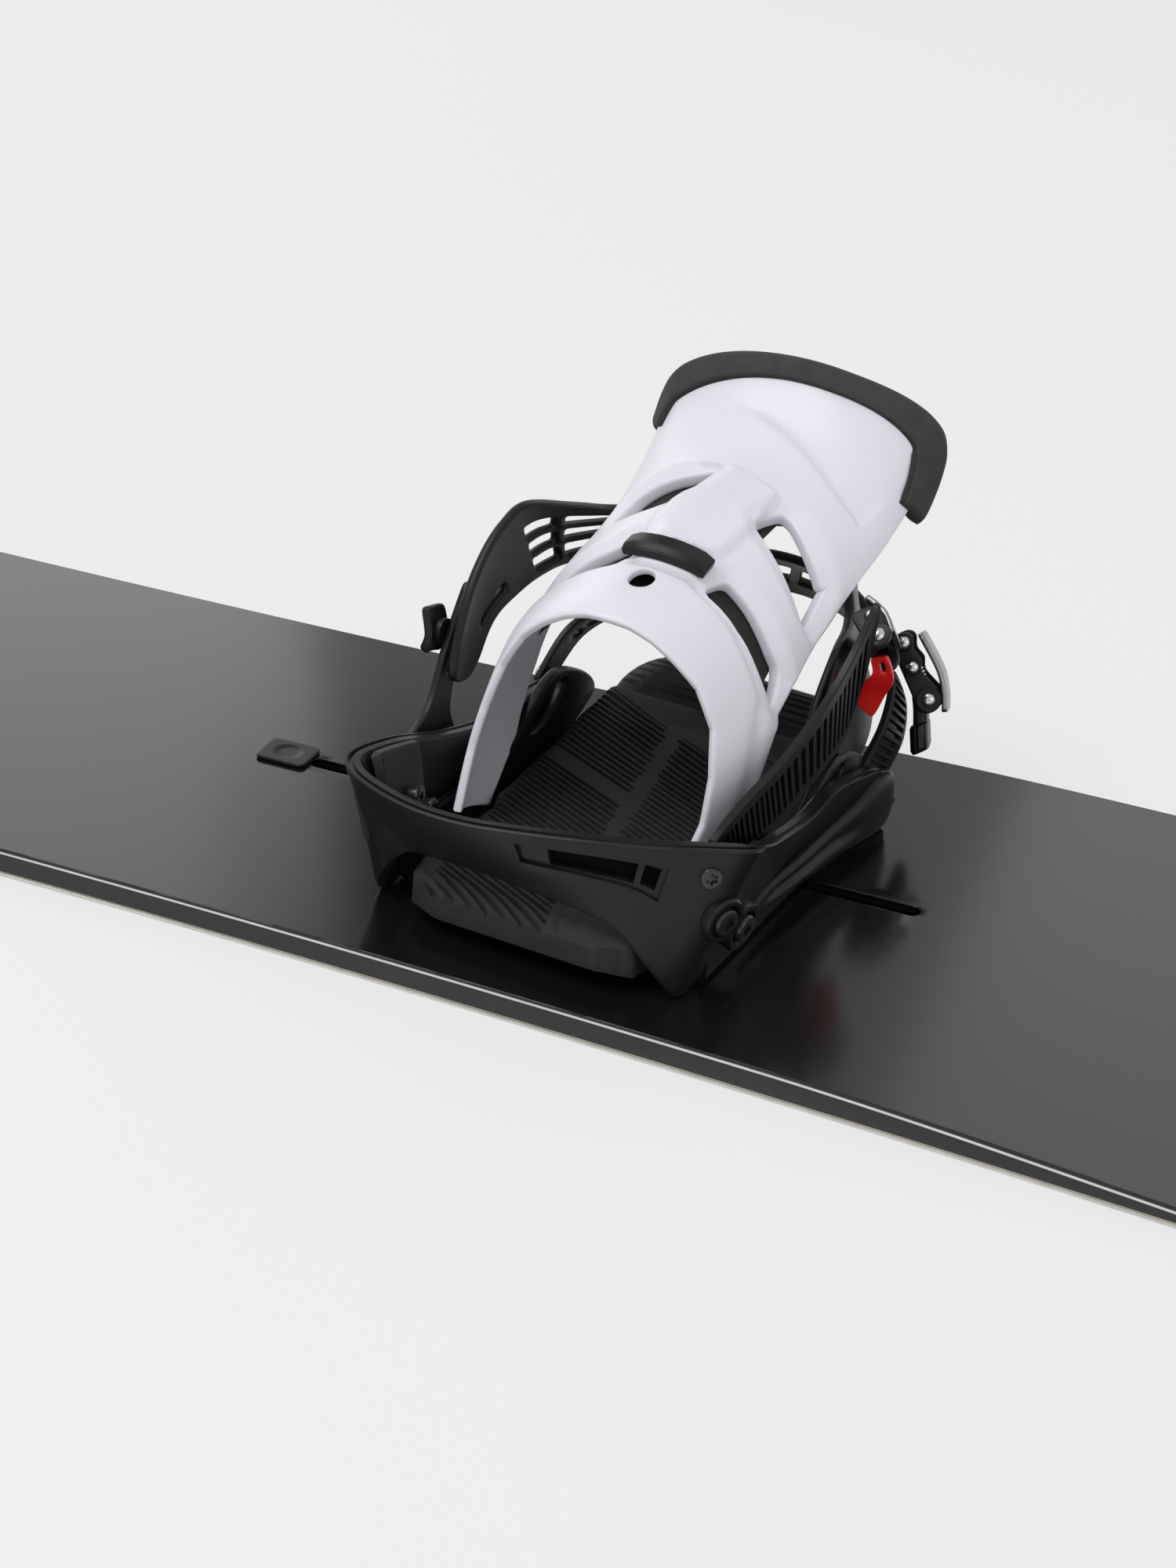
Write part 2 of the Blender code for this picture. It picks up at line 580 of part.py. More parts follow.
# Straps as rows of (upper edge point, lower edge point), from the inner side over the foot to the
# buckle side
STRAPS = {
    "ankle_connector": (3.0, 8, (
        ((-81, -88, 30), (-79, -46, 20)),
        ((-82, -66, 44), (-80, -24, 34)),
        ((-83, -42, 53), (-83, -24, 49)),
        ((-85, -27, 73), (-85, -15, 71)),
        ((-85.5, -18, 86), (-85.5, -7, 84)),
        ((-85, -11, 98), (-85, 0, 96)),
    )),
    "ankle_strap": (4.5, 30, (
        ((-77, -34, 65), (-75, -22, 60)),
        ((-80, -21, 92), (-79, 0, 78)),
        ((-81, -7, 109), (-78, 20, 88)),
        ((-80, 7, 120), (-76, 42, 98)),
        ((-77, 22, 125), (-72, 58, 101)),
        ((-68, 52, 117), (-56, 94, 98)),
        ((-56, 76, 111), (-44, 112, 94)),
        ((-31, 97, 117), (-23, 126, 96)),
        ((0, 104, 122), (0, 134, 98)),
        ((28, 97, 118), (25, 126, 95)),
        ((44, 78, 103), (40, 102, 81)),
        ((53, 62, 94), (51, 84, 71)),
        ((60, 40, 90), (58, 86, 54)),
        ((62, 24, 76), (61, 82, 38)),
        ((63, 14, 64), (62, 68, 28)),
    )),
    "ankle_ladder": (3.0, 12, (
        ((63, -82, 58), (63, -75, 39)),
        ((64.5, -71, 64), (64.5, -60, 41)),
        ((66, -52, 69), (66, -40, 43)),
        ((67.5, -30, 73), (67.5, -18, 46)),
        ((70, 0, 85), (70, 8, 54)),
        ((72, 18, 99), (72, 23, 65)),
        ((74, 30, 113), (74, 28, 88)),
    )),
    "toe_connector": (3.0, 6, (
        ((-79, 44, 34), (-80, 60, 28)),
        ((-74, 60, 54), (-74, 74, 46)),
        ((-66, 76, 62), (-65, 90, 54)),
        ((-58, 88, 66), (-56, 100, 57)),
    )),
    "toe_strap": (4.5, 12, (
        ((-54, 92, 70), (-52, 106, 54)),
        ((-42, 112, 78), (-42, 126, 58)),
        ((-20, 126, 84), (-20, 141, 62)),
        ((5, 130, 84), (5, 146, 62)),
        ((30, 124, 80), (32, 138, 58)),
        ((54, 104, 74), (56, 120, 54)),
    )),
    "toe_ladder": (3.0, 8, (
        ((67, 58, 27), (68, 86, 12)),
        ((68, 66, 34), (69, 93, 18)),
        ((70, 74, 46), (71, 99, 30)),
        ((69, 82, 58), (70, 100, 44)),
        ((65, 88, 66), (66, 98, 56)),
    )),
}


def direction(points, t):
    return spline(points, min(t + 0.01, 1)) - spline(points, max(t - 0.01, 0))


def ribbon(bm, rows, thickness, samples):
    """Strap between two edge lines, with its thickness split evenly about them."""
    upper = [r[0] for r in rows]
    lower = [r[1] for r in rows]
    rings = []
    for k in range(samples + 1):
        t = k / samples
        a, b = spline(upper, t), spline(lower, t)
        ahead = direction(upper, t) + direction(lower, t)
        half = (b - a).cross(ahead).normalized() * (thickness / 2)
        rings.append([a - half, b - half, b + half, a + half])
    loft(bm, rings)


def build_straps(group):
    for name, (thickness, samples, rows) in STRAPS.items():
        bm = bmesh.new()
        ribbon(bm, rows, thickness, samples)
        to_object(bm, name, group, "nylon_black")


# A buckle is drawn about the rivet on its near cheek: its frame runs down along the ladder, then
# across the ladder, then outwards
ANKLE_BUCKLE = ((75, 37, 100.5), (0.72, -0.49, -0.49), (0.69, 0.51, 0.51))
TOE_BUCKLE = ((78, 89, 66), (0.6, -0.15, -0.785), (0.77, 0.38, 0.51))
CHEEK = 3.0
ANKLE_RELEASE = (((71, 43.5, 86.5), (79, 43.5, 90)), ((74, 43, 82), (82, 45, 81)), ((70, 45, 73), (79, 47, 74)),
                 ((67, 46, 68), (75, 47, 64)))
ANKLE_ADJUSTER = (((-93, -30, 72), (-92, -19, 70)), ((-90.5, -30, 80), (-89.5, -18, 78)),
                  ((-94, -28, 91), (-93, -16, 89)))


def buckle_frame(origin, along, outward):
    """Matrix from a buckle's own frame to the binding's."""
    x = Vector(along).normalized()
    y = Vector(outward).cross(x).normalized()
    z = x.cross(y)
    return Matrix.Translation(origin) @ Matrix((x, y, z)).transposed().to_4x4()


def buckle_base(group, name, frame, start, end, width, low, high):
    """Buckle body: a base under the ladder with a cheek along each edge."""
    section = ((0, low), (width, low), (width, high), (width - CHEEK, high), (width - CHEEK, low + CHEEK),
               (CHEEK, low + CHEEK), (CHEEK, high), (0, high))
    bm = bmesh.new()
    loft(bm, [[frame @ Vector((along, across, out)) for across, out in section] for along in (start, end)])
    to_object(bm, name, group, "nylon_black")


def buckle_plate(group, name, frame, thickness, line, near, far, material):
    """Lever or tab: a plate of one width that follows a line of (along, outward) points."""
    rows = [(frame @ Vector((along, near, out)), frame @ Vector((along, far, out))) for along, out in line]
    bm = bmesh.new()
    ribbon(bm, rows, thickness, 8)
    to_object(bm, name, group, material)


def build_buckles(group):
    """Ratchet buckles of the two straps, with their levers and release tabs."""
    ankle = buckle_frame(*ANKLE_BUCKLE)
    buckle_base(group, "ankle_buckle", ankle, -15, 1, 26, -4, 6)
    buckle_plate(group, "ankle_lever", ankle, 2.5, ((-2, 8), (-13, 11), (-25, 9)), 3.4, 22.6, "aluminium")
    bm = bmesh.new()
    ribbon(bm, ANKLE_RELEASE, 2.4, 8)
    to_object(bm, "ankle_release", group, "release_red")
    toe = buckle_frame(*TOE_BUCKLE)
    buckle_base(group, "toe_buckle", toe, -19, 15, 24, -6, 2.5)
    buckle_plate(group, "toe_lever", toe, 2.5, ((-16, 8), (1, 9.5), (13, 6.5), (22, 1)), -1, 23, "aluminium")
    buckle_plate(group, "toe_release", toe, 9.0, ((21, -9), (26, -11), (31, -13)), 1, 22, "nylon_black")
    bm = bmesh.new()
    ribbon(bm, ANKLE_ADJUSTER, 4.0, 8)
    to_object(bm, "ankle_adjuster", group, "nylon_black")


def build_binding():
    """Draw the right-hand binding in its own frame."""
    group = collection("binding_drawing")
    build_baseplate(group)
    build_deck(group)
    build_hinges(group)
    build_highback(group)
    build_straps(group)
    build_buckles(group)
    return group


# Where the moving parts turn, in the binding's frame; a part not listed here is fixed
FLIP_AXIS = (0, 1.5, 138.5)
ANKLE_AXIS = (0, -78, 44)
TOE_AXIS = (0, 60, 24)
PIVOTS = {
    "highback": (0, PIVOT_Y, PIVOT_Z),
    "highback_rim": (0, PIVOT_Y, PIVOT_Z),
    "highback_pad": (0, PIVOT_Y, PIVOT_Z),
    "lean_adjuster": FLIP_AXIS,
    "ankle_strap": ANKLE_AXIS,
    "ankle_connector": ANKLE_AXIS,
    "ankle_buckle": ANKLE_AXIS,
    "ankle_ladder": ANKLE_AXIS,
    "ankle_adjuster": (-91, -24, 71),
    "toe_strap": TOE_AXIS,
    "toe_connector": TOE_AXIS,
    "toe_ladder": TOE_AXIS,
    "toe_buckle": TOE_AXIS,
}


def buckle_pivots():
    """Axles of the levers and release tabs, which lie across their buckle."""
    ankle = buckle_frame(*ANKLE_BUCKLE)
    toe = buckle_frame(*TOE_BUCKLE)
    return {
        "ankle_lever": ankle @ Vector((0, 13, 2)),
        "ankle_release": ankle @ Vector((1, 13, 0)),
        "toe_lever": toe @ Vector((18, 11, 0)),
        "toe_release": toe @ Vector((20, 11, -8)),
    }


def place_bindings(drawing):
    """Bake each drawn part into a right-hand copy and a mirrored left-hand copy."""
    pivots = {**PIVOTS, **buckle_pivots()}
    surface = thickness(STANCE_HALF) * MM
    deps = bpy.context.evaluated_depsgraph_get()
    for side, hand in ((1, "right"), (-1, "left")):
        centre = bpy.data.objects.new("binding_centre_" + hand, None)
        PARTS.objects.link(centre)
        centre.location = (side * STANCE_HALF * MM, 0, surface)
        centre.rotation_euler = (0, 0, math.radians(-TOE_OUT * side))
        mirror = Matrix.Diagonal((side, 1, 1, 1))
        for part in drawing.objects:
            mesh = bpy.data.meshes.new_from_object(part.evaluated_get(deps))
            pivot = Vector(pivots.get(part.name, (0, 0, 0))) * MM
            mesh.transform(mirror @ Matrix.Translation(-pivot) @ part.matrix_world)
            if side < 0:
                mesh.flip_normals()
            copy = bpy.data.objects.new(f"{part.name}_{hand}", mesh)
            PARTS.objects.link(copy)
            copy.parent = centre
            copy.location = mirror @ pivot
    for part in list(drawing.objects):
        bpy.data.objects.remove(part, do_unlink=True)


clear_scene()
MATERIALS = {name: make_material(name) for name in COLOURS}
PARTS = collection("snowboard_with_bindings")
CUTTERS = collection("cutters")
build_board()
place_bindings(build_binding())
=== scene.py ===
"""Looks for the snowboard with strap bindings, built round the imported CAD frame.

A binding is drawn once, in millimetres, in its own frame (origin on the deck under its disc, y to
the toes, x to the buckles) and is placed on both sides of the board, mirrored on the left.
"""

import json
import math

import bmesh
import bpy
from mathutils import Matrix, Vector


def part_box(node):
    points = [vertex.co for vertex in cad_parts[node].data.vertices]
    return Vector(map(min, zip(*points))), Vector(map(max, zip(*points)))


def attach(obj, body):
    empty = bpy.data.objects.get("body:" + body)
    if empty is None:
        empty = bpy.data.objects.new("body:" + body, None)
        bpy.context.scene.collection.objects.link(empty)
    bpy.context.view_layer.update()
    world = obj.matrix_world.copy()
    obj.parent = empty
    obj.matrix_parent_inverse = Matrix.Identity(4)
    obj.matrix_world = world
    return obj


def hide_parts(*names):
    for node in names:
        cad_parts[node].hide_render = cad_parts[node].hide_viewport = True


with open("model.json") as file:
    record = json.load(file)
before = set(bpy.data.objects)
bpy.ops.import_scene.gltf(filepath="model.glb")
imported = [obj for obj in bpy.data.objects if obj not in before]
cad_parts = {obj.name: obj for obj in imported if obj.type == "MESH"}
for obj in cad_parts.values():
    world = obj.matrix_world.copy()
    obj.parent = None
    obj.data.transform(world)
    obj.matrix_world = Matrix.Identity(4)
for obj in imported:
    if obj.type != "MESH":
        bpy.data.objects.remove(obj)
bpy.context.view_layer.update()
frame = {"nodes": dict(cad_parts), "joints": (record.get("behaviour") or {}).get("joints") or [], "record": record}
RECORD = frame["record"]
MM = 0.001


# ---- places from the frame

def joint(name):
    return next(j for j in frame["joints"] if j["name"] == name)


def mount(name):
    return next(m for m in RECORD["mounts"] if m["name"] == name)


DECK = mount("deck_face")["pos_m"][2]


def binding_matrix(hand):
    """From a binding's own millimetres to the row frame."""
    low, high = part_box("mounting_disc_" + hand)
    axis = joint("highback_fold_" + hand)["axis"]
    side = 1 if hand == "right" else -1
    centre = Vector(((low.x + high.x) / 2, (low.y + high.y) / 2, DECK))
    turn = math.atan2(axis[1], axis[0])
    return (Matrix.Translation(centre) @ Matrix.Rotation(turn, 4, "Z")
            @ Matrix.Diagonal((side, 1, 1, 1)) @ Matrix.Scale(MM, 4))


BINDING = {hand: binding_matrix(hand) for hand in ("right", "left")}


# ---- materials

# name: colour, roughness, metallic, colour variation, (bump scale per metre, bump height mm), coat
FINISHES = {
    "topsheet_black": ((0.007, 0.007, 0.008), 0.16, 0.0, 0.10, (900, 0.004), 0.0),
    "base_black": ((0.02, 0.02, 0.022), 0.4, 0.0, 0.15, (1500, 0.01), 0.0),
    "wood_core": ((0.55, 0.40, 0.24), 0.6, 0.0, 0.3, (500, 0.05), 0.0),
    "sidewall_black": ((0.018, 0.018, 0.019), 0.5, 0.0, 0.25, (1400, 0.03), 0.0),
    "edge_steel": ((0.62, 0.61, 0.58), 0.26, 1.0, 0.2, (1800, 0.01), 0.0),
    "bolt_steel": ((0.66, 0.66, 0.66), 0.22, 1.0, 0.1, (2500, 0.01), 0.0),
    "bolt_black": ((0.05, 0.05, 0.052), 0.2, 0.6, 0.1, (2500, 0.01), 0.0),
    "lever_metal": ((0.30, 0.30, 0.31), 0.33, 1.0, 0.15, (2200, 0.01), 0.0),
    "nylon_black": ((0.009, 0.009, 0.010), 0.36, 0.0, 0.18, (2600, 0.012), 0.0),
    # painted shade: near-black, dull copy of the nylon for the bar that darkens the hoop's pocket
    "painted_shade_black": ((0.003, 0.003, 0.003), 0.85, 0.0, 0.1, (2600, 0.012), 0.0),
    # painted sheen: lighter copy of the black nylon, standing in for light grazing the heel wall
    "nylon_painted_sheen": ((0.030, 0.030, 0.033), 0.42, 0.0, 0.15, (2600, 0.012), 0.0),
    "shell_white": ((0.80, 0.80, 0.87), 0.36, 0.0, 0.02, (1200, 0.006), 0.0),
    "foam_grey": ((0.040, 0.038, 0.037), 0.80, 0.0, 0.35, (2200, 0.10), 0.0),
    "foam_black": ((0.024, 0.023, 0.023), 0.66, 0.0, 0.30, (2400, 0.06), 0.0),
    "release_red": ((0.72, 0.012, 0.010), 0.32, 0.0, 0.06, (1800, 0.008), 0.1),
    "silver_line": ((0.72, 0.71, 0.68), 0.35, 0.4, 0.2, (900, 0.02), 0.0),
    "cream_line": ((0.42, 0.38, 0.30), 0.5, 0.0, 0.3, (900, 0.02), 0.0),
}
# Specular level where it isn't the usual one
SHEEN = {"painted_shade_black": 0.1, "nylon_black": 0.3, "foam_black": 0.3, "nylon_painted_sheen": 0.4}
USUAL_SHEEN = 0.5
BROAD = 14                     # how many times coarser the colour's noise is than the bump's
ROUGHNESS_SPREAD = 0.12


def link(tree, a, out, b, into):
    tree.links.new(a.outputs[out], b.inputs[into])


def noise(tree, scale, detail, place):
    node = tree.nodes.new("ShaderNodeTexNoise")
    node.inputs["Scale"].default_value = scale
    node.inputs["Detail"].default_value = detail
    link(tree, place, "Object", node, "Vector")
    return node


def make_finish(name):
    """Principled shader with a fine noise for colour, roughness and bump."""
    colour, rough, metallic, vary, (scale, height), coat = FINISHES[name]
    mat = bpy.data.materials.new(name)
    mat.use_nodes = True
    tree = mat.node_tree
    shader = tree.nodes["Principled BSDF"]
    shader.inputs["Metallic"].default_value = metallic
    shader.inputs["Coat Weight"].default_value = coat
    shader.inputs["Specular IOR Level"].default_value = SHEEN.get(name, USUAL_SHEEN)
    place = tree.nodes.new("ShaderNodeTexCoord")
    broad = noise(tree, scale / BROAD, 4, place)
    fine = noise(tree, scale, 3, place)
    tint = tree.nodes.new("ShaderNodeMix")
    tint.data_type = "RGBA"
    tint.inputs["A"].default_value = (*[c * (1 - vary) for c in colour], 1)
    tint.inputs["B"].default_value = (*[min(c * (1 + vary), 1) for c in colour], 1)
    link(tree, broad, "Fac", tint, "Factor")
    link(tree, tint, "Result", shader, "Base Color")
    spread = tree.nodes.new("ShaderNodeMapRange")
    spread.inputs["To Min"].default_value = rough * (1 - ROUGHNESS_SPREAD)
    spread.inputs["To Max"].default_value = rough * (1 + ROUGHNESS_SPREAD)
    link(tree, fine, "Fac", spread, "Value")
    link(tree, spread, "Result", shader, "Roughness")
    bump = tree.nodes.new("ShaderNodeBump")
    bump.inputs["Distance"].default_value = height * MM
    link(tree, fine, "Fac", bump, "Height")
    link(tree, bump, "Normal", shader, "Normal")
    return mat


FINISH = {name: make_finish(name) for name in FINISHES}


def slot_of_node(node):
    return next(p["material_slot"] for p in RECORD["subparts"] if p["node"] == node)


for node_name, node in frame["nodes"].items():
    node.data.materials.clear()
    node.data.materials.append(FINISH[slot_of_node(node_name)])


# ---- curves and numbers

CORNER_SHARE = 0.45            # most of a side that one rounded corner takes


def shares(count):
    """Even steps from 0 to 1, with both ends."""
    return [k / count for k in range(count + 1)]


def steps(start, end, pitch):
    """Values strictly between two ends, about one pitch apart."""
    count = max(int(round(abs(end - start) / pitch)), 1)
    return [start + (end - start) * k / count for k in range(1, count)]


def smooth(a, b, x):
    t = min(max((x - a) / (b - a), 0.0), 1.0)
    return t * t * (3 - 2 * t)


def crown(share):
    """Height of a padded section: full in the middle, falling to 0 at -1 and 1."""
    return math.sqrt(max(1 - share ** 8, 0))


def catmull(p0, p1, p2, p3, f):
    return 0.5 * (2 * p1 + (p2 - p0) * f + (2 * p0 - 5 * p1 + 4 * p2 - p3) * f * f
                  + (3 * p1 - p0 - 3 * p2 + p3) * f ** 3)


def spline(points, t):
    """Catmull-Rom curve through points of any number of values, with t from 0 to 1."""
    last = len(points) - 1
    place = min(max(t, 0.0), 1.0) * last
    i = min(int(place), last - 1)
    around = [Vector(points[min(max(k, 0), last)]) for k in range(i - 1, i + 3)]
    return catmull(*around, place - i)


def direction(points, t):
    return spline(points, min(t + 0.01, 1)) - spline(points, max(t - 0.01, 0))


def pair_at(rows, t):
    """Both points of a band's rows at t, and the way ahead there."""
    firsts, seconds = zip(*rows)
    return spline(firsts, t), spline(seconds, t), direction(firsts, t) + direction(seconds, t)


def arc_outline(points, per):
    """Smooth closed outline through a few points, with so many steps from each to the next."""
    n = len(points)
    out = []
    for i in range(n):
        around = [Vector(points[(i + k) % n]) for k in (-1, 0, 1, 2)]
        out += [catmull(*around, k / per) for k in range(per)]
    return out


def round_section(points, radius, count=4):
    """Closed 2D outline with its corners rounded."""
    out = []
    n = len(points)
    for i, point in enumerate(points):
        p = Vector(point)
        a, b = Vector(points[i - 1]) - p, Vector(points[(i + 1) % n]) - p
        reach = min(radius, a.length * CORNER_SHARE, b.length * CORNER_SHARE)
        start, end = p + a.normalized() * reach, p + b.normalized() * reach
        out += [start * (1 - t) ** 2 + p * 2 * t * (1 - t) + end * t * t for t in shares(count)]
    return out


def ellipse(cy, cz, ry, rz, tilt=0, count=28):
    c, s = math.cos(tilt), math.sin(tilt)
    turns = [2 * math.pi * k / count for k in range(count)]
    round_points = [(ry * math.cos(a), rz * math.sin(a)) for a in turns]
    return [(cy + y * c - z * s, cz + y * s + z * c) for y, z in round_points]


# ---- drawings, in millimetres

def loft(rings, loop=False):
    """Skin over rings of points, closed at both ends or, for a loop, onto its first ring."""
    bm = bmesh.new()
    rows = [[bm.verts.new(p) for p in ring] for ring in rings]
    n = len(rows[0])
    for a, b in zip(rows, rows[1:] + rows[:1] if loop else rows[1:]):
        for i in range(n):
            bm.faces.new((a[i], a[(i + 1) % n], b[(i + 1) % n], b[i]))
    if not loop:
        bm.faces.new(rows[0][::-1])
        bm.faces.new(rows[-1])
    return bm


def bevelled(bm, width, segments=3, angle=30):
    """Bevel the sharp edges of a drawing."""
    bmesh.ops.recalc_face_normals(bm, faces=bm.faces)
    sharp = [e for e in bm.edges if e.is_manifold and e.calc_face_angle(0) > math.radians(angle)]
    bmesh.ops.bevel(bm, geom=sharp, offset=width, segments=segments, affect="EDGES", clamp_overlap=True)
    return bm


def cylinder(start, end, radius, sides):
    start, end = Vector(start), Vector(end)
    way = end - start
    turn = way.to_track_quat("Z", "Y").to_matrix().to_4x4()
    bm = bmesh.new()
    bmesh.ops.create_cone(bm, cap_ends=True, segments=sides, radius1=radius, radius2=radius,
                          depth=way.length, matrix=Matrix.Translation((start + end) / 2) @ turn)
    return bm


def prism(outline, z0, z1):
    bm = bmesh.new()
    face = bm.faces.new([bm.verts.new((x, y, z0)) for x, y in outline])
    grown = bmesh.ops.extrude_face_region(bm, geom=[face])
    top = [v for v in grown["geom"] if isinstance(v, bmesh.types.BMVert)]
    bmesh.ops.translate(bm, verts=top, vec=(0, 0, z1 - z0))
    return bm


def turned(base, outward, profile, sides=32):
    """Closed solid turned about a line; profile is (radius, height) from the axis to the axis."""
    z = Vector(outward).normalized()
    x = z.orthogonal().normalized()
    y = z.cross(x)
    bm = bmesh.new()
    rows = []
    for k in range(sides):
        a = 2 * math.pi * k / sides
        arm = x * math.cos(a) + y * math.sin(a)
        rows.append([bm.verts.new(Vector(base) + arm * r + z * h) for r, h in profile])
    for a, b in zip(rows, rows[1:] + rows[:1]):
        for i in range(len(profile) - 1):
            bm.faces.new((a[i], a[i + 1], b[i + 1], b[i]))
    bmesh.ops.remove_doubles(bm, verts=bm.verts, dist=0.0005)
    return bm


def dome(radius, height, foot):
    """Profile of a rivet head on a foot of so much height."""
    arc = [(radius * math.cos(a), foot + height * math.sin(a)) for a in (math.pi / 2 * t for t in shares(6))]
    return [(0, 0), (radius, 0)] + arc[:-1] + [(0, foot + height)]


def geometry(bm):
    return list(bm.verts) + list(bm.edges) + list(bm.faces)


def mesh_of(name, bm):
    """Mesh of a drawing, which is used up."""
    mesh = bpy.data.meshes.new(name)
    bm.to_mesh(mesh)
    bm.free()
    return mesh


def scene_object(name, data):
    obj = bpy.data.objects.new(name, data)
    bpy.context.scene.collection.objects.link(obj)
    return obj


def drawing_of(obj):
    """Drawing of an object's evaluated mesh."""
    bpy.context.view_layer.update()
    mesh = bpy.data.meshes.new_from_object(obj.evaluated_get(bpy.context.evaluated_depsgraph_get()))
    bm = bmesh.new()
    bm.from_mesh(mesh)
    bpy.data.meshes.remove(mesh)
    return bm


def cut_out(bm, cutters):
    """Take closed cutter drawings out of a drawing."""
    objects = []
    for drawing in [bm] + cutters:
        bmesh.ops.recalc_face_normals(drawing, faces=drawing.faces)
        objects.append(scene_object("cut", mesh_of("cut", drawing)))
    for cutter in objects[1:]:
        mod = objects[0].modifiers.new("cut", "BOOLEAN")
        mod.object = cutter
        mod.solver = "EXACT"
    out = drawing_of(objects[0])
    for obj in objects:
        bpy.data.objects.remove(obj, do_unlink=True)
    return out


def flat_sheet(outlines, thickness, edge, place, grid_u, grid_v):
    """Outline with holes and rounded edges, cut along a grid and bent; place(u, v, depth) is a point."""
    curve = bpy.data.curves.new("sheet", "CURVE")
    curve.dimensions = "2D"
    curve.fill_mode = "BOTH"
    curve.extrude = thickness / 2 - edge
    curve.bevel_depth = edge
    curve.bevel_resolution = 2
    curve.offset = -edge
    for outline in outlines:
        line = curve.splines.new("POLY")
        line.points.add(len(outline) - 1)
        for point, (u, v) in zip(line.points, outline):
            point.co = (u, v, 0, 1)
        line.use_cyclic_u = True
    sheet = scene_object("sheet", curve)
    bm = drawing_of(sheet)
    bpy.data.objects.remove(sheet, do_unlink=True)
    bmesh.ops.remove_doubles(bm, verts=bm.verts, dist=0.01)
    for axis, values in ((0, grid_u), (1, grid_v)):
        for value in values:
            co, no = Vector(), Vector()
            co[axis], no[axis] = value, 1
            bmesh.ops.bisect_plane(bm, geom=geometry(bm), plane_co=co, plane_no=no, dist=0.001)
    bmesh.ops.triangulate(bm, faces=[f for f in bm.faces if len(f.verts) > 4])
    for vert in bm.verts:
        vert.co = place(vert.co.x, vert.co.y, vert.co.z + thickness / 2)
    return bm


def show(name, mesh, body, finish, nodes, sharp=40):
    """Put a mesh in the scene: its finish, the body that it rides on, the CAD nodes it stands for."""
    obj = scene_object(name, mesh)
    mesh.materials.clear()
    mesh.materials.append(FINISH[finish])
    mesh.shade_smooth()
    mesh.set_sharp_from_angle(angle=math.radians(sharp))
    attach(obj, body)
    if nodes:
        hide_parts(*nodes)
    return obj


def emit(name, bm, body="base", finish="nylon_black", nodes=(), sharp=40):
    """Place a drawing on both bindings, riding on its body and standing for its CAD nodes."""
    bmesh.ops.recalc_face_normals(bm, faces=bm.faces)
    mesh = mesh_of(name, bm)
    for hand, place in BINDING.items():
        copy = mesh.copy()
        copy.transform(place)
        if hand == "left":
            copy.flip_normals()
        own_body = body if body == "base" else f"{body}_{hand}"
        obj = show(f"{name}_{hand}", copy, own_body, finish, [f"{n}_{hand}" for n in nodes], sharp)
    bpy.data.meshes.remove(mesh)


# ---- board

HALF_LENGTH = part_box("topsheet")[1].x / MM
WAIST = 126.0
SIDECUT_RADIUS = 7600.0
CONTACT_X = 590.0
TIP_X = 775.0                  # where the rounded tip's curve would close
TIP_POWER = 2.3
LIFT_X = CONTACT_X - 25        # where the base leaves the snow
TIP_RISE = 42.0
THICK_TIP = 6.5
TAPER = (370.0, 600.0)
CHANNEL = (128.0, 398.0)
CHANNEL_SLOT = 8.0
DECK_SHEET = 1.5
DECK_LINE = 1.1                # height of the silver line under the deck sheet
STEEL_TOP = 1.3
CREAM = 0.7                    # height of the cream line over the steel edge


def half_width(x):
    x = min(abs(x), HALF_LENGTH)
    if x <= CONTACT_X:
        return WAIST + x * x / (2 * SIDECUT_RADIUS)
    t = (x - CONTACT_X) / (TIP_X - CONTACT_X)
    return (WAIST + CONTACT_X ** 2 / (2 * SIDECUT_RADIUS)) * math.sqrt(max(1 - t ** TIP_POWER, 0.0))


def base_height(x):
    t = max(abs(x) - LIFT_X, 0) / (TIP_X - LIFT_X)
    return TIP_RISE * t * t


def thickness(x):
    return THICK_TIP + (DECK / MM - THICK_TIP) * smooth(TAPER[1], TAPER[0], abs(x))


def board_edge(count=180):
    """Outline of the board, as points from the tail round both sides."""
    xs = [HALF_LENGTH * math.sin(math.pi / 2 * (2 * k / count - 1)) for k in range(1, count)]
    upper = [(x, half_width(x)) for x in xs]
    return [(x, -y) for x, y in upper] + upper[::-1]


BOARD_EDGE = board_edge()


def stadium(x0, x1, width):
    r = width / 2
    arc = [math.pi * (t - 0.5) for t in shares(10)]
    right = [(x1 - r + r * math.cos(a), r * math.sin(a)) for a in arc]
    return right + [(x0 + r - r * math.cos(a), -r * math.sin(a)) for a in arc]


def board_object(name, bm, finish, nodes):
    bmesh.ops.recalc_face_normals(bm, faces=bm.faces)
    bmesh.ops.scale(bm, vec=(MM, MM, MM), verts=bm.verts)
    show(name, mesh_of(name, bm), "base", finish, nodes, sharp=30)


def deck_underside(x):
    return thickness(x) - DECK_SHEET


def deck_place(x, y, depth):
    return Vector((x, y, base_height(x) + deck_underside(x) + depth))


def board_band(low, high, outset, width):
    """Closed band round the edge; low and high are heights above the base at each x."""
    rings = []
    for x, y in BOARD_EDGE:
        normal = Vector((x * 0.004, math.copysign(1, y), 0)) if abs(x) < CONTACT_X else Vector((x, y, 0))
        normal = normal.normalized()
        out = Vector((x, y, 0)) + normal * outset
        into = Vector((x, y, 0)) - normal * width
        z0, z1 = base_height(x) + low(x), base_height(x) + high(x)
        soft = min(0.25, (z1 - z0) / 3)
        rings.append([Vector((into.x, into.y, z0)), Vector((out.x, out.y, z0)) - normal * soft,
                      Vector((out.x, out.y, z0 + soft)), Vector((out.x, out.y, z1 - soft)),
                      Vector((out.x, out.y, z1)) - normal * soft, Vector((into.x, into.y, z1))])
    return loft(rings, loop=True)


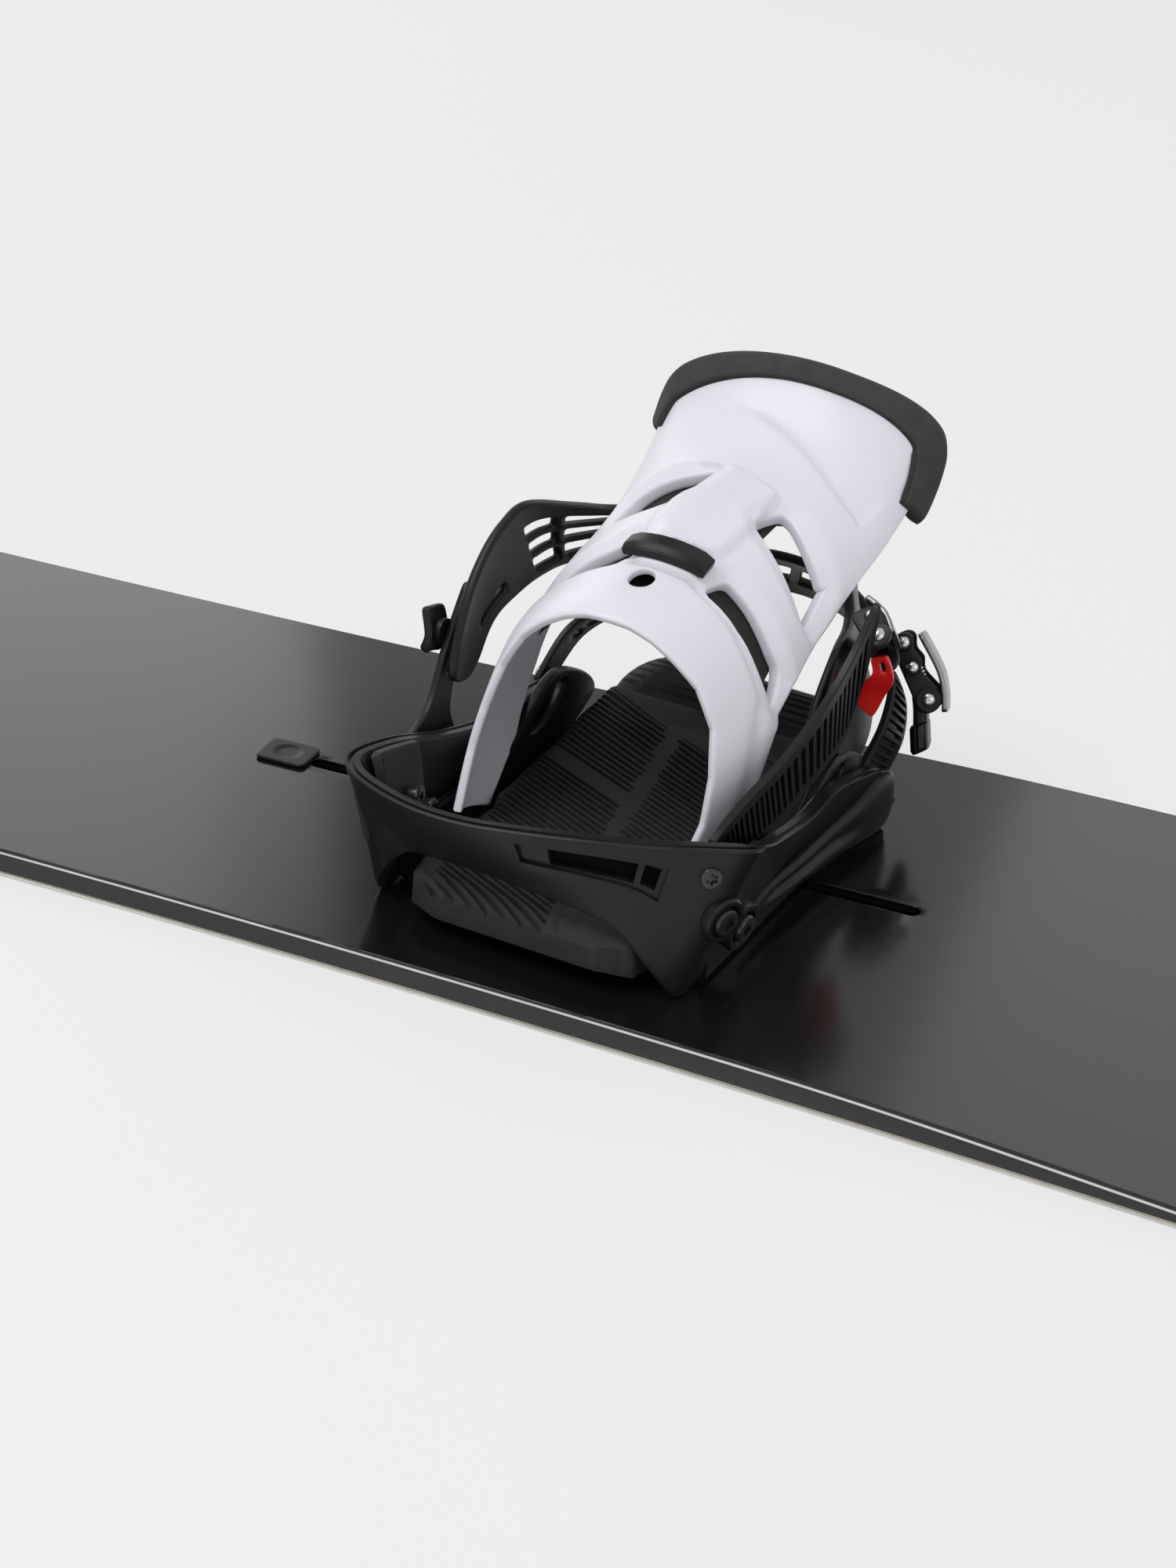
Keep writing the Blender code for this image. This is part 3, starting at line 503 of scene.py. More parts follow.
def build_board():
    slot = stadium(*CHANNEL, CHANNEL_SLOT)
    slots = [slot, [(-x, y) for x, y in slot]]
    cuts = steps(-HALF_LENGTH, HALF_LENGTH, 12)
    sheet = flat_sheet([BOARD_EDGE] + slots, DECK_SHEET, 0.45, deck_place, cuts, [])
    board_object("deck_sheet", sheet, "topsheet_black", ["topsheet"])
    line = board_band(lambda x: deck_underside(x) - DECK_LINE, deck_underside, -0.15, 5)
    board_object("deck_line", line, "silver_line", [])
    wall = board_band(lambda x: STEEL_TOP + CREAM, lambda x: deck_underside(x) - DECK_LINE, -0.1, 5.8)
    board_object("sidewall_band", wall, "sidewall_black", ["sidewall"])
    cream = board_band(lambda x: STEEL_TOP, lambda x: STEEL_TOP + CREAM, -0.2, 5)
    board_object("cream_band", cream, "cream_line", [])
    steel = board_band(lambda x: 0.0, lambda x: STEEL_TOP, 0.1, 2.1)
    board_object("edge_band", steel, "edge_steel", ["steel_edge"])


build_board()


# ---- highback

# Shell from foot to top: its middle line (x, y, z), the (y, z) of its side edges, and half its width
HIGHBACK_ROWS = (
    (-1.5, -104, 46, -50, 21, 57.5),
    (-2.5, -87, 78, -27, 42, 62),
    (-2.5, -53, 117, -10, 62, 63),
    (-2, -23, 127, 4, 75, 61.5),
    (-1.5, 2, 133, 17, 86, 60),
    (-1, 23, 137, 34, 96, 59),
    (0, 50, 141, 58, 109, 58),
    (0, 74, 146, 82, 121, 59),
    (0, 95, 160, 102, 135, 60),
    (0, 112, 176, 117, 154, 60),
)
SECTION_ANGLE = math.radians(75)
SHELL = 3.6
SHELL_U = 66.0                 # millimetres along the shell for one unit of u and of v
SHELL_V = 195.0
# Outlines in (u, v): u runs from -1 to 1 across the shell, v from 0 at its foot to 1 at its top
ARCH = ((0.74, 0.0), (0.74, 0.087), (0.69, 0.14), (0.615, 0.183), (0.49, 0.209), (0.35, 0.221),
        (0.23, 0.23), (0.11, 0.235))
UPPER_WINDOW = ((0.24, 0.62), (0.28, 0.66), (0.34, 0.673), (0.46, 0.653), (0.59, 0.63), (0.755, 0.606),
                (0.787, 0.599), (0.81, 0.51), (0.74, 0.516), (0.58, 0.548), (0.43, 0.577), (0.30, 0.602))
LOWER_WINDOW = ((0.287, 0.38), (0.30, 0.405), (0.337, 0.427), (0.40, 0.425), (0.51, 0.413), (0.61, 0.397),
                (0.72, 0.377), (0.805, 0.357), (0.846, 0.29), (0.787, 0.301), (0.65, 0.33), (0.50, 0.356),
                (0.39, 0.369))
UPPER_INNER_WINDOW = ((-0.18, 0.74), (-0.31, 0.728), (-0.46, 0.712), (-0.60, 0.69), (-0.70, 0.66),
                      (-0.74, 0.60), (-0.68, 0.56), (-0.56, 0.57), (-0.46, 0.588), (-0.37, 0.605),
                      (-0.28, 0.633), (-0.215, 0.665), (-0.19, 0.70))
LOWER_INNER_WINDOW = ((-0.175, 0.435), (-0.21, 0.48), (-0.28, 0.455), (-0.36, 0.43), (-0.50, 0.41),
                      (-0.66, 0.385), (-0.78, 0.35), (-0.80, 0.30), (-0.66, 0.325), (-0.50, 0.352),
                      (-0.38, 0.368), (-0.26, 0.38), (-0.19, 0.40))
WINDOWS = (UPPER_WINDOW, LOWER_WINDOW, UPPER_INNER_WINDOW, LOWER_INNER_WINDOW)
# Side edges from the foot up; the inner leg curls further forward than the outer one
INNER_SIDE = ((-1.22, 0), (-1.25, 0.12), (-1.22, 0.25), (-1.17, 0.34), (-1.11, 0.42), (-1.05, 0.52),
              (-1.01, 0.62), (-1, 0.75))
OUTER_SIDE = ((0.98, 0), (0.93, 0.12), (0.90, 0.24), (0.89, 0.36), (0.90, 0.48), (0.93, 0.62), (0.97, 0.76))
# Rounded top corner, from the side edge to the top edge
CORNER = ((1, 0.885), (0.997, 0.918), (0.98, 0.947), (0.945, 0.968), (0.89, 0.98))
INNER_CORNER = ((-0.89, 0.962), (-0.945, 0.949), (-0.98, 0.928), (-1, 0.905))
PANEL = ((-0.15, 0.445), (-0.21, 0.48), (-0.215, 0.56), (-0.22, 0.635), (-0.19, 0.70), (-0.14, 0.757),
         (0.23, 0.697), (0.245, 0.62), (0.25, 0.515), (0.22, 0.45))
CREASE = ((-0.36, 0.908), (-0.15, 0.891), (0.01, 0.871), (0.18, 0.843), (0.335, 0.813), (0.487, 0.785),
          (0.62, 0.768), (0.71, 0.76))
BAND = ((-0.9, 0.02), (-0.88, 0.14), (-0.76, 0.27), (-0.5, 0.345), (-0.2, 0.375), (0.2, 0.375), (0.5, 0.345),
        (0.76, 0.27), (0.88, 0.14), (0.9, 0.02))
WINDOW_ZONE = (0.2 * SHELL_V, 0.75 * SHELL_V)
PANEL_REACH = 0.36 * SHELL_U
CREASE_FOOT = 0.68 * SHELL_V
BAND_TOP = 0.42 * SHELL_V
SCREW_HOLE = (0.0, 0.337 * SHELL_V, 4.0, 4.6)
FOOT_STEP = 0.02
NORMAL_STEP = 0.01
RIM_SAMPLES = 150


def to_line(point, line, closed=True):
    """Distance from a point to a line, the share of the way along it, and a number signed by its side."""
    best, where = 1e9, 0.0
    pairs = list(zip(line, line[1:] + line[:1])) if closed else list(zip(line, line[1:]))
    for i, (a, b) in enumerate(pairs):
        way = b - a
        t = min(max((point - a).dot(way) / way.length_squared, 0), 1)
        gap = point - a - way * t
        if gap.length < best:
            best, where = gap.length, (i + t) / len(pairs)
            sign = way.x * gap.y - way.y * gap.x
    return best, where, sign


def in_mm(points):
    return [Vector((u * SHELL_U, v * SHELL_V)) for u, v in points]


WINDOW_LINES = [in_mm(w) for w in WINDOWS]
PANEL_LINE, CREASE_LINE, BAND_LINE = in_mm(PANEL), in_mm(CREASE), in_mm(BAND)


def inside(point, line):
    hit = False
    for a, b in zip(line, line[1:] + line[:1]):
        if (a.y > point.y) != (b.y > point.y):
            if point.x < (b.x - a.x) * (point.y - a.y) / (b.y - a.y) + a.x:
                hit = not hit
    return hit


def window_gap(point):
    return min(to_line(point, w)[0] for w in WINDOW_LINES)


def shell_relief(x, y):
    """How deep the outer face lies below the plain shell, in mm; negative is proud."""
    p = Vector((x, y))
    depth = 0.0
    if WINDOW_ZONE[0] < y < WINDOW_ZONE[1]:
        depth += 3.0 * (1 - smooth(0.0, 8.0, window_gap(p)))
        if abs(x) < PANEL_REACH:
            gap, _, _ = to_line(p, PANEL_LINE)
            depth -= 2.6 * smooth(-1.1, 1.1, gap if inside(p, PANEL_LINE) else -gap)
    if y > CREASE_FOOT:
        gap, along, sign = to_line(p, CREASE_LINE, closed=False)
        fade = smooth(0.0, 0.25, along) * (1 - smooth(0.97, 1.0, along))
        depth += 2.2 * fade * (1 - smooth(0, 20 if sign > 0 else 2.0, gap))
    if y < BAND_TOP:
        gap, _, _ = to_line(p, BAND_LINE, closed=False)
        depth += 1.1 * (1 - smooth(0.6, 3.0, gap))
    return depth


def highback_surface(u, v):
    """Point of the plain outer face; below the foot it runs straight on."""
    if v < 0:
        foot = highback_surface(u, 0)
        return foot + (foot - highback_surface(u, FOOT_STEP)) * (-v / FOOT_STEP)
    x, y, z, edge_y, edge_z, half = spline(HIGHBACK_ROWS, v)
    turn = SECTION_ANGLE * u
    sink = (1 - math.cos(turn)) / (1 - math.cos(SECTION_ANGLE))
    return Vector((x + half * math.sin(turn) / math.sin(SECTION_ANGLE),
                   y + (edge_y - y) * sink, z + (edge_z - z) * sink))


def highback_point(u, v, depth=0.0):
    """Point of the shell, so many millimetres inwards of its plain outer face."""
    p = highback_surface(u, v)
    if depth:
        e = NORMAL_STEP
        du = highback_surface(u + e, v) - highback_surface(u - e, v)
        dv = highback_surface(u, min(v + e, 1)) - highback_surface(u, min(v, 1 - e) - e)
        p = p - du.cross(dv).normalized() * depth
    return p


def top_edge(u):
    """The top edge lies lower on the inner side."""
    return 1.0 - (0.035 - 0.017 * smooth(0.2, 0.9, u))


def mirrored(points):
    return [(-u, v) for u, v in reversed(points)]


def flange(x, y):
    """Depth of the lip that the inner face turns inwards round each window."""
    if not WINDOW_ZONE[0] < y < WINDOW_ZONE[1]:
        return 0.0
    return 5.0 * (1 - smooth(0.5, 5.0, window_gap(Vector((x, y)))))


def shell_place(x, y, depth):
    share = min(max(depth / SHELL, 0), 1)
    relief = shell_relief(x, y) * (1 - share) + flange(x, y) * share
    return highback_point(x / SHELL_U, y / SHELL_V, depth + relief)


def build_shell():
    arch = mirrored(ARCH[::-1]) + list(ARCH)[::-1]
    top = [(u, top_edge(u)) for u in (0.8, 0.6, 0.4, 0.2, 0, -0.3, -0.6)]
    body = ([INNER_SIDE[0]] + arch + list(OUTER_SIDE) + list(CORNER) + top + list(INNER_CORNER)
            + list(INNER_SIDE[:0:-1]))
    holes = [arc_outline(window, 3) for window in WINDOW_LINES] + [ellipse(*SCREW_HOLE, count=20)]
    pitch = 1.7
    bm = flat_sheet([in_mm(body)] + holes, SHELL, 1.0, shell_place,
                    steps(-1.25 * SHELL_U, SHELL_U, pitch), steps(0, SHELL_V, pitch))
    emit("highback_shell", bm, "highback", "shell_white", ["highback"], sharp=50)


def build_back_pad():
    """Pad on the inner face; its upper outer part stays clear of the upper window."""
    sides = [2 * s - 1 for s in shares(40)]
    rings = []
    for t in shares(32):
        v = 0.29 + 0.50 * t
        narrow = smooth(0.46, 0.55, v)
        outer, inner = 0.80 - 0.50 * narrow, 0.80 - 0.08 * narrow
        lift = 2.6 * crown(2 * t - 1)
        us = [s * (outer if s > 0 else inner) for s in sides]
        rings.append([highback_point(u, v, SHELL + 5.0) for u in us]
                     + [highback_point(u, v, SHELL + 5.2 + lift * crown(s)) for u, s in zip(us[::-1], sides)])
    emit("back_pad", loft(rings), "highback", "foam_black", ["highback_pad"])


def build_lean_block():
    """Block on the outer face that sets the forward lean."""
    rings = []
    for t in shares(8):
        u = -0.185 + 0.425 * t
        bend = 2 * t - 1
        thick = 5.2 + 0.6 * math.cos(bend * 1.4)
        end = 1 - 0.25 * abs(bend) ** 12
        section = ((0.386, 0), (0.429, 0), (0.430, thick * end * 0.9), (0.426, thick * end),
                   (0.397, thick * end), (0.386, thick * end * 0.7))
        rings.append([highback_point(u, v, -height) for v, height in section])
    block = bevelled(loft(rings), 0.4, 2, 20)
    emit("lean_block", block, "lean_adjuster", nodes=["lean_adjuster"], sharp=25)


def rim_frames():
    """Along the top edge: middle of the shell, way over the edge, way out of the shell, rim's width."""
    inner = [(u, v, 8.0 + 0.3 * k) for k, (u, v) in enumerate(INNER_CORNER[::-1])]
    top = [(u, top_edge(u), 9.3) for u in (-0.8 + 1.6 * t for t in shares(12))]
    outer = [(u, v, 9.3 - 0.2 * k) for k, (u, v) in enumerate(CORNER[::-1])]
    path = inner + top + outer + [(1, 0.865, 7.5)]
    frames = []
    for i, (u, v, width) in enumerate(path):
        middle = highback_point(u, v, SHELL / 2)
        outward = (highback_point(u, v, SHELL / 2 - 5) - middle).normalized()
        before, after = path[max(i - 1, 0)], path[min(i + 1, len(path) - 1)]
        ahead = highback_point(*after[:2]) - highback_point(*before[:2])
        over = outward.cross(ahead).normalized()
        frames.append((*(middle + over), *over, *outward, width))
    return frames


def rim_piece(section, corner):
    """Loft along the rim; section is (share of the rim's width, millimetres out of the shell)."""
    frames = rim_frames()
    outline = round_section([(a * 10, b) for a, b in section], corner)
    rings = []
    for t in shares(RIM_SAMPLES):
        *spot, width = spline(frames, t)
        base, over, outward = Vector(spot[:3]), Vector(spot[3:6]), Vector(spot[6:])
        end = min(t, 1 - t) * RIM_SAMPLES / 6
        taper = math.sqrt(min(end * (2 - min(end, 1)) + 0.05, 1)) if end < 1 else 1
        lap = 0.22 + 0.78 * (1 - smooth(0.12, 0.46, min(t, 1 - t)))
        rings.append([base + over * (a / 10 * width * (lap if a < 0 else 1)) + outward * b * taper
                      for a, b in outline])
    return loft(rings)


def build_rim():
    """Foam band over the highback's top edge, with a thin lining along its inner side."""
    foam = ((-0.85, -3.6), (0.75, -4.2), (1.05, -1.2), (1.05, 1.6), (0.75, 4.6), (-0.85, 4.2))
    lining = ((-0.98, 1.5), (-0.86, 3.4), (-0.6, 3.4), (-0.6, 1.5))
    emit("rim_foam", rim_piece(foam, 2.6), "highback", "foam_grey", ["highback_rim"])
    emit("rim_lining", rim_piece(lining, 0.4), "highback", "foam_black")


build_shell()
build_rim()
build_back_pad()
build_lean_block()


# ---- baseplate

# Wall from the toes of the inner side round the heel: its lower and its upper edge
WALL = (
    ((-78, 72, 1), (-79, 72, 15)),
    ((-76, 62, 1), (-75, 62, 33)),
    ((-73, 41, 4), (-74, 44, 37)),
    ((-71, 15, 11), (-72, 20, 41)),
    ((-70, -13, 13), (-71, -8, 41)),
    ((-70, -45, 9), (-74, -42, 47)),
    ((-70, -72, 4), (-79, -72, 55)),
    ((-70, -94, 1), (-84, -92, 56)),
    ((-64, -103, 14), (-79, -103, 56)),
    ((-52, -105, 27), (-66, -111, 56)),
    ((-36, -107, 30), (-44, -117, 56)),
    ((-14, -108, 31), (-22, -118, 57)),
    ((7, -109, 31), (0, -115, 59)),
    ((27, -109, 30), (24, -109, 61)),
    ((43, -109, 27), (46, -101, 62)),
    ((54, -106, 14), (62, -94, 63)),
    ((65, -98, 1), (79, -79, 61)),
    ((66, -74, 3), (76, -62, 54)),
    ((66, -48, 8), (74, -45, 47)),
    ((67, -13, 13), (71.5, -5, 38)),
    ((69, 15, 11), (72, 21, 40)),
    ((72, 41, 4), (74, 46, 36)),
    ((76, 62, 1), (76, 64, 31)),
    ((78, 73, 1), (79, 73, 15)),
)
PLATE_FOOT = 0.6               # underside of the baseplate's visible pieces
FLOOR_TOP = 5.2
RAIL_TOP = 24.0
DISC_HOLE = 46.3
PIVOT = Vector((0, -68, 21))
# Sections of the wall as (share of its height, millimetres outwards of its outer face)
WALL_SECTION = ((0.0, -0.8), (0.05, 0.0), (0.30, 0.2), (0.36, 1.0), (0.80, 1.5), (0.90, 2.0), (0.985, 2.2),
                (1.0, 1.6), (1.0, 0.8), (0.975, 0.5), (0.975, -0.9), (1.0, -1.2), (1.0, -4.0), (0.97, -5.0),
                (0.86, -5.0), (0.80, -4.0), (0.0, -4.0))
HEEL_SECTION = ((0.30, -8.5), (1.02, -8.5), (1.04, -9.3), (1.04, -12), (1.0, -12.6), (0.30, -12.6))
# Cuts in the wall as (start, end, section, samples): recess of the hoop, its pocket and end hole, side notch
WALL_CUTS = (
    (0.519, 0.638, ((0.50, 4), (0.82, 4), (0.80, -0.4), (0.52, -0.4)), 30),
    (0.541, 0.608, ((0.55, 4), (0.77, 4), (0.77, -6.0), (0.55, -6.0)), 30),
    (0.614, 0.631, ((0.57, 4), (0.78, 4), (0.78, -6.0), (0.57, -6.0)), 10),
    (0.325, 0.352, ((0.30, 4), (0.62, 4), (0.62, -9), (0.30, -9)), 12),
)
# Near-black bar inside the hoop's pocket, as (start, end, section, samples): painted shade that darkens the slot
POCKET_SHADE_BAR = (0.538, 0.634, ((0.50, -4.4), (0.70, -4.4), (0.70, -6.4), (0.50, -6.4)), 20)
# Outer side of the floor, and of the side rail, seen from above
FLOOR_SIDE = [(63, -84), (66.5, -40), (67, 0), (71, 40), (74, 66)]
RAIL = [(63.5, -84), (68, -84), (68.5, 0), (75, 55), (67, 55), (63.5, 0)]
# Toe wing seen from the side, with its window
WING = [(-6, 6), (30, 7), (60, 18), (71, 26), (61, 37), (40, 46.5), (25, 45), (6, 33), (-12, 22)]
WING_HOLE = (27, 34, 16, 5.2, 0.42)
# Pod on the side rail from heel to toe: y, inner and outer x, bottom and top z
POD = ((-48, 66, 69, 9, 15), (-30, 67, 71, 9, 19), (-8, 68, 74, 9, 21), (18, 69, 76, 8, 23),
       (40, 71, 79, 6, 26), (56, 73, 81, 5, 31), (68, 74, 81.5, 6, 30), (76, 75, 79, 9, 24))


def wall_point(t, share, out):
    low, high, ahead = pair_at(WALL, t)
    low.z = max(low.z, PLATE_FOOT)
    away = Vector((ahead.y, -ahead.x, 0)).normalized()
    return low + (high - low) * share + away * out


def wall_piece(start, end, section, samples):
    return loft([[wall_point(start + (end - start) * t, *s) for s in section] for t in shares(samples)])


def build_wall():
    whole = wall_piece(0, 1, WALL_SECTION, 420)
    wall = cut_out(whole, [wall_piece(*cut) for cut in WALL_CUTS])
    emit("wall_and_hoop", wall, nodes=["baseplate"], sharp=32)
    # the bar in the pocket is painted shade, a near-black piece that darkens the slot
    emit("pocket_shade_bar", bevelled(wall_piece(*POCKET_SHADE_BAR), 0.4), "base", "painted_shade_black")


def build_floor():
    floor = prism([(-x, y) for x, y in reversed(FLOOR_SIDE)] + FLOOR_SIDE, PLATE_FOOT, FLOOR_TOP)
    floor = cut_out(floor, [cylinder((0, 0, -5), (0, 0, 30), DISC_HOLE, 64)])
    emit("plate_floor", bevelled(floor, 0.5))


def rail_pod(sign):
    """Rounded pod along a side rail, scooped in the middle of its length."""
    rings = []
    for t in shares(56):
        y, x0, x1, z0, z1 = spline(POD, t)
        tall = z1 - z0
        hollow = 3.0 * smooth(-42, -20, y) * (1 - smooth(24, 52, y))
        profile = ((x0, z0), (x1 - 1, z0), (x1, z0 + tall * 0.25), (x1 - hollow, z0 + tall * 0.5),
                   (x1 - 0.5, z0 + tall * 0.8), (x1 - 2, z1), (x0, z1))
        rings.append([Vector((sign * p.x, y, p.y)) for p in round_section(profile, 2.2, 3)])
    return loft(rings)


def toe_wing(sign):
    return flat_sheet([arc_outline(WING, 6), ellipse(*WING_HOLE)], 5.0, 1.2,
                      lambda y, z, depth: Vector((sign * (62.5 + depth), y, z)), [], [])


def build_sides():
    for name, sign in (("outer", 1), ("inner", -1)):
        rail = prism([(sign * x, y) for x, y in RAIL][::sign], PLATE_FOOT, RAIL_TOP)
        emit("side_rail_" + name, bevelled(rail, 1.5))
        emit("toe_wing_" + name, toe_wing(sign))
        emit("rail_pod_" + name, rail_pod(sign), sharp=60)


def build_heel_wall():
    """Second wall behind the heel, inside the hoop's inner side; its lighter copy of the black nylon is painted
    sheen of light grazing it.
    """
    emit("heel_inner_wall", bevelled(wall_piece(0.26, 0.345, HEEL_SECTION, 60), 0.4), "base", "nylon_painted_sheen")


build_wall()
build_floor()
build_sides()
build_heel_wall()


# ---- bolts of the hinges and the hoop

PIVOT_CUP = [(6.2, 0), (9.6, 0), (10.2, 4.5), (9.4, 6.2), (7.4, 6.2), (6.6, 4.6), (6.2, 4.6), (6.2, 0)]
CORNER_CUP = [(6.2, 0), (9.0, 0), (9.4, 3.4), (8.6, 4.6), (7.0, 4.6), (6.4, 3.2), (6.2, 0)]
STAR_POINTS = 6
STAR_INNER = 0.62


def star(radius):
    turns = [math.pi * k / STAR_POINTS for k in range(2 * STAR_POINTS)]
    radii = [radius * (1 if k % 2 else STAR_INNER) for k in range(2 * STAR_POINTS)]
    return [(r * math.cos(a), r * math.sin(a)) for r, a in zip(radii, turns)]


def bolt_with_star(name, base, outward, radius, height, star_radius, nodes=()):
    """Round head with a star socket sunk into it."""
    profile = [(0, -3), (radius * 0.9, -3), (radius, 0), (radius, height * 0.55),
               (radius * 0.9, height * 0.9), (radius * 0.72, height), (0, height)]
    head = turned((0, 0, 0), (0, 0, 1), profile, 40)
    head = cut_out(head, [prism(star(star_radius), height * 0.3, height + 1)])
    head.transform(Matrix.Translation(base) @ Vector(outward).to_track_quat("Z", "Y").to_matrix().to_4x4())
    emit(name, head, "base", "bolt_black", nodes, sharp=35)


def build_bolts():
    for name, sign in (("outer", 1), ("inner", -1)):
        away = Vector((sign, -0.12, -0.12)).normalized()
        hub = Vector((sign * 71.5, PIVOT.y, PIVOT.z))
        bolt_with_star("pivot_bolt_" + name, hub + away * 3.4, away, 5.6, 2.4, 3.4, ["highback_bolt_" + name])
        emit("pivot_cup_" + name, turned(hub - away * 2, away, PIVOT_CUP, 48), sharp=35)
    bolt_with_star("corner_screw", Vector((69.3, -91.6, 51.5)), (0.61, -0.79, 0.1), 4.4, 2.0, 2.7)
    corner = Vector((0.93, -0.36, -0.1)).normalized()
    seat = Vector((73.6, -87.2, 33.2))
    bolt_with_star("corner_bolt", seat + corner * 1.6, corner, 5.4, 2.4, 3.6)
    emit("corner_cup", turned(seat - corner * 2, corner, CORNER_CUP, 48), sharp=35)
    for place, size in (((-60, -84, 40), 4.4), ((-60.5, -72, 30), 3.6)):
        bolt_with_star(f"inner_screw_{-place[2]}", Vector(place), (1, 0.1, 0.1), size, 1.6, size * 0.55)


build_bolts()


# ---- footbed and toe ramp

# Foam deck from heel to toe: y, half its width, height of its top
DECK_STATIONS = ((-112, 44, 21), (-104, 48, 22), (-91, 50, 22), (-60, 50, 21), (-40, 50, 20), (-28, 54, 20),
                 (20, 57, 20), (60, 59, 23), (78, 58, 26))
DECK_ENDS = (-111.5, 77.6)
DECK_UNDER = 7.0
RIDGE_SLANT = 0.45
PANEL_SLANT = -0.18
# Ridged panels as (x0, x1, start, end, ridge pitch); start and end run along the ridges' normal
PANELS = ((-56, -10, 11, 63, 3.7), (-56, -10, -58, 0, 3.7), (-1, 48, -52, 63, 3.7), (-58, -8, -124, -62, 3.4))
# Single grooves as (x0, y0, x1, y1)
GROOVES = ((-14, 76, 58, 44), (19, -119, 8, -66))
# Toe ramp from heel to toe: y, half its width, bottom and top z
RAMP = ((78.6, 57, 3, 25.6), (86, 56.5, 3, 28.5), (95, 54.5, 2.5, 30.6), (103, 50.5, 2.5, 32),
        (109, 45, 3, 32.4), (113.6, 36, 6, 30.8))
RAMP_RIBS = 9


def in_groove(x, y):
    for x0, y0, x1, y1 in GROOVES:
        way = Vector((x1 - x0, y1 - y0))
        p = Vector((x - x0, y - y0))
        t = p.dot(way) / way.length_squared
        if 0 < t < 1 and abs(way.x * p.y - way.y * p.x) / way.length < 1.0:
            return True
    return False


def deck_height(x, y, half):
    """Height added to the foam deck: ridges sunk inside each panel, grooves, and a rounded border."""
    add = 0.0
    along = y + RIDGE_SLANT * (x + 30)
    for x0, x1, start, end, pitch in PANELS:
        if x0 < x - PANEL_SLANT * y < x1 and start < along < end:
            add = -1.9 if ((along - start) / pitch) % 1 < 0.45 else 0.2
    if in_groove(x, y):
        add = -0.8
    return add - 1.6 * (1 - smooth(0, 3.0, half - abs(x)))


def deck_station(y):
    """Half width of the foam deck, its top height, and how far its heel end is rounded down."""
    y = min(max(y, DECK_ENDS[0]), DECK_ENDS[1])
    for a, b in zip(DECK_STATIONS, DECK_STATIONS[1:]):
        if a[0] <= y <= b[0]:
            f = smooth(a[0], b[0], y)
            half, top = a[1] + (b[1] - a[1]) * f, a[2] + (b[2] - a[2]) * f
    front = 3.5 * (1 - math.sqrt(1 - (1 - smooth(0, 10, y - DECK_ENDS[0])) ** 2 * 0.999))
    return half - front * 2.6, top, front


def deck_spot(share, along):
    """Point of a slanted row, at a share of the half width, with its deck station."""
    x = share * 50
    for _ in range(4):
        y = along - RIDGE_SLANT * x
        x = share * deck_station(y)[0]
    return x, y, deck_station(y)


def deck_row(along, columns=48):
    """Ring round the foam deck that follows a ridge: underside, outer side, top, inner side."""
    ring = []
    for side, rise in ((-1, 0), (1, 0), (1, 1)):
        x, y, (_, top, _) = deck_spot(side, along)
        low = DECK_UNDER + 2 * (1 - smooth(0, 8, y - DECK_ENDS[0]))
        ring.append(Vector((x + side * (0.6 - 0.3 * rise), y, top - 2.5 if rise else low)))
    for k in range(columns, -1, -1):
        x, y, (half, top, front) = deck_spot(2 * k / columns - 1, along)
        ring.append(Vector((x, y, top - front + deck_height(x, y, half))))
    x, y, (_, top, _) = deck_spot(-1, along)
    return ring + [Vector((x - 0.3, y, top - 2.5))]


def build_footbed():
    reach = 60 * RIDGE_SLANT
    pitch = 0.62
    bm = loft([deck_row(along) for along in steps(DECK_ENDS[0] - reach, DECK_ENDS[1] + reach, pitch)])
    for end, way in zip(DECK_ENDS, (-1, 1)):
        cut = bmesh.ops.bisect_plane(bm, geom=geometry(bm), plane_co=(0, end, 0), plane_no=(0, way, 0),
                                     clear_outer=True)
        rim = [e for e in cut["geom_cut"] if isinstance(e, bmesh.types.BMEdge)]
        bmesh.ops.holes_fill(bm, edges=rim, sides=0)
    emit("footbed_foam", bm, "base", "foam_black", ["footbed"], sharp=32)


def build_toe_ramp():
    rings = []
    for t in shares(70):
        y, half, z0, z1 = spline(RAMP, t)
        rib = 0.8 if 0.1 < t < 0.9 and (t * RAMP_RIBS) % 1 < 0.3 else 0.0
        section = ((-half, z0), (half, z0), (half, z1 - 1), (half * 0.8, z1 - rib), (-half * 0.8, z1 - rib),
                   (-half, z1 - 1))
        rings.append([Vector((p.x, y, p.y)) for p in round_section(section, 2.0, 3)])
    emit("toe_ramp_cover", loft(rings), nodes=["toe_ramp"], sharp=32)


build_footbed()
build_toe_ramp()


# ---- straps and ladders

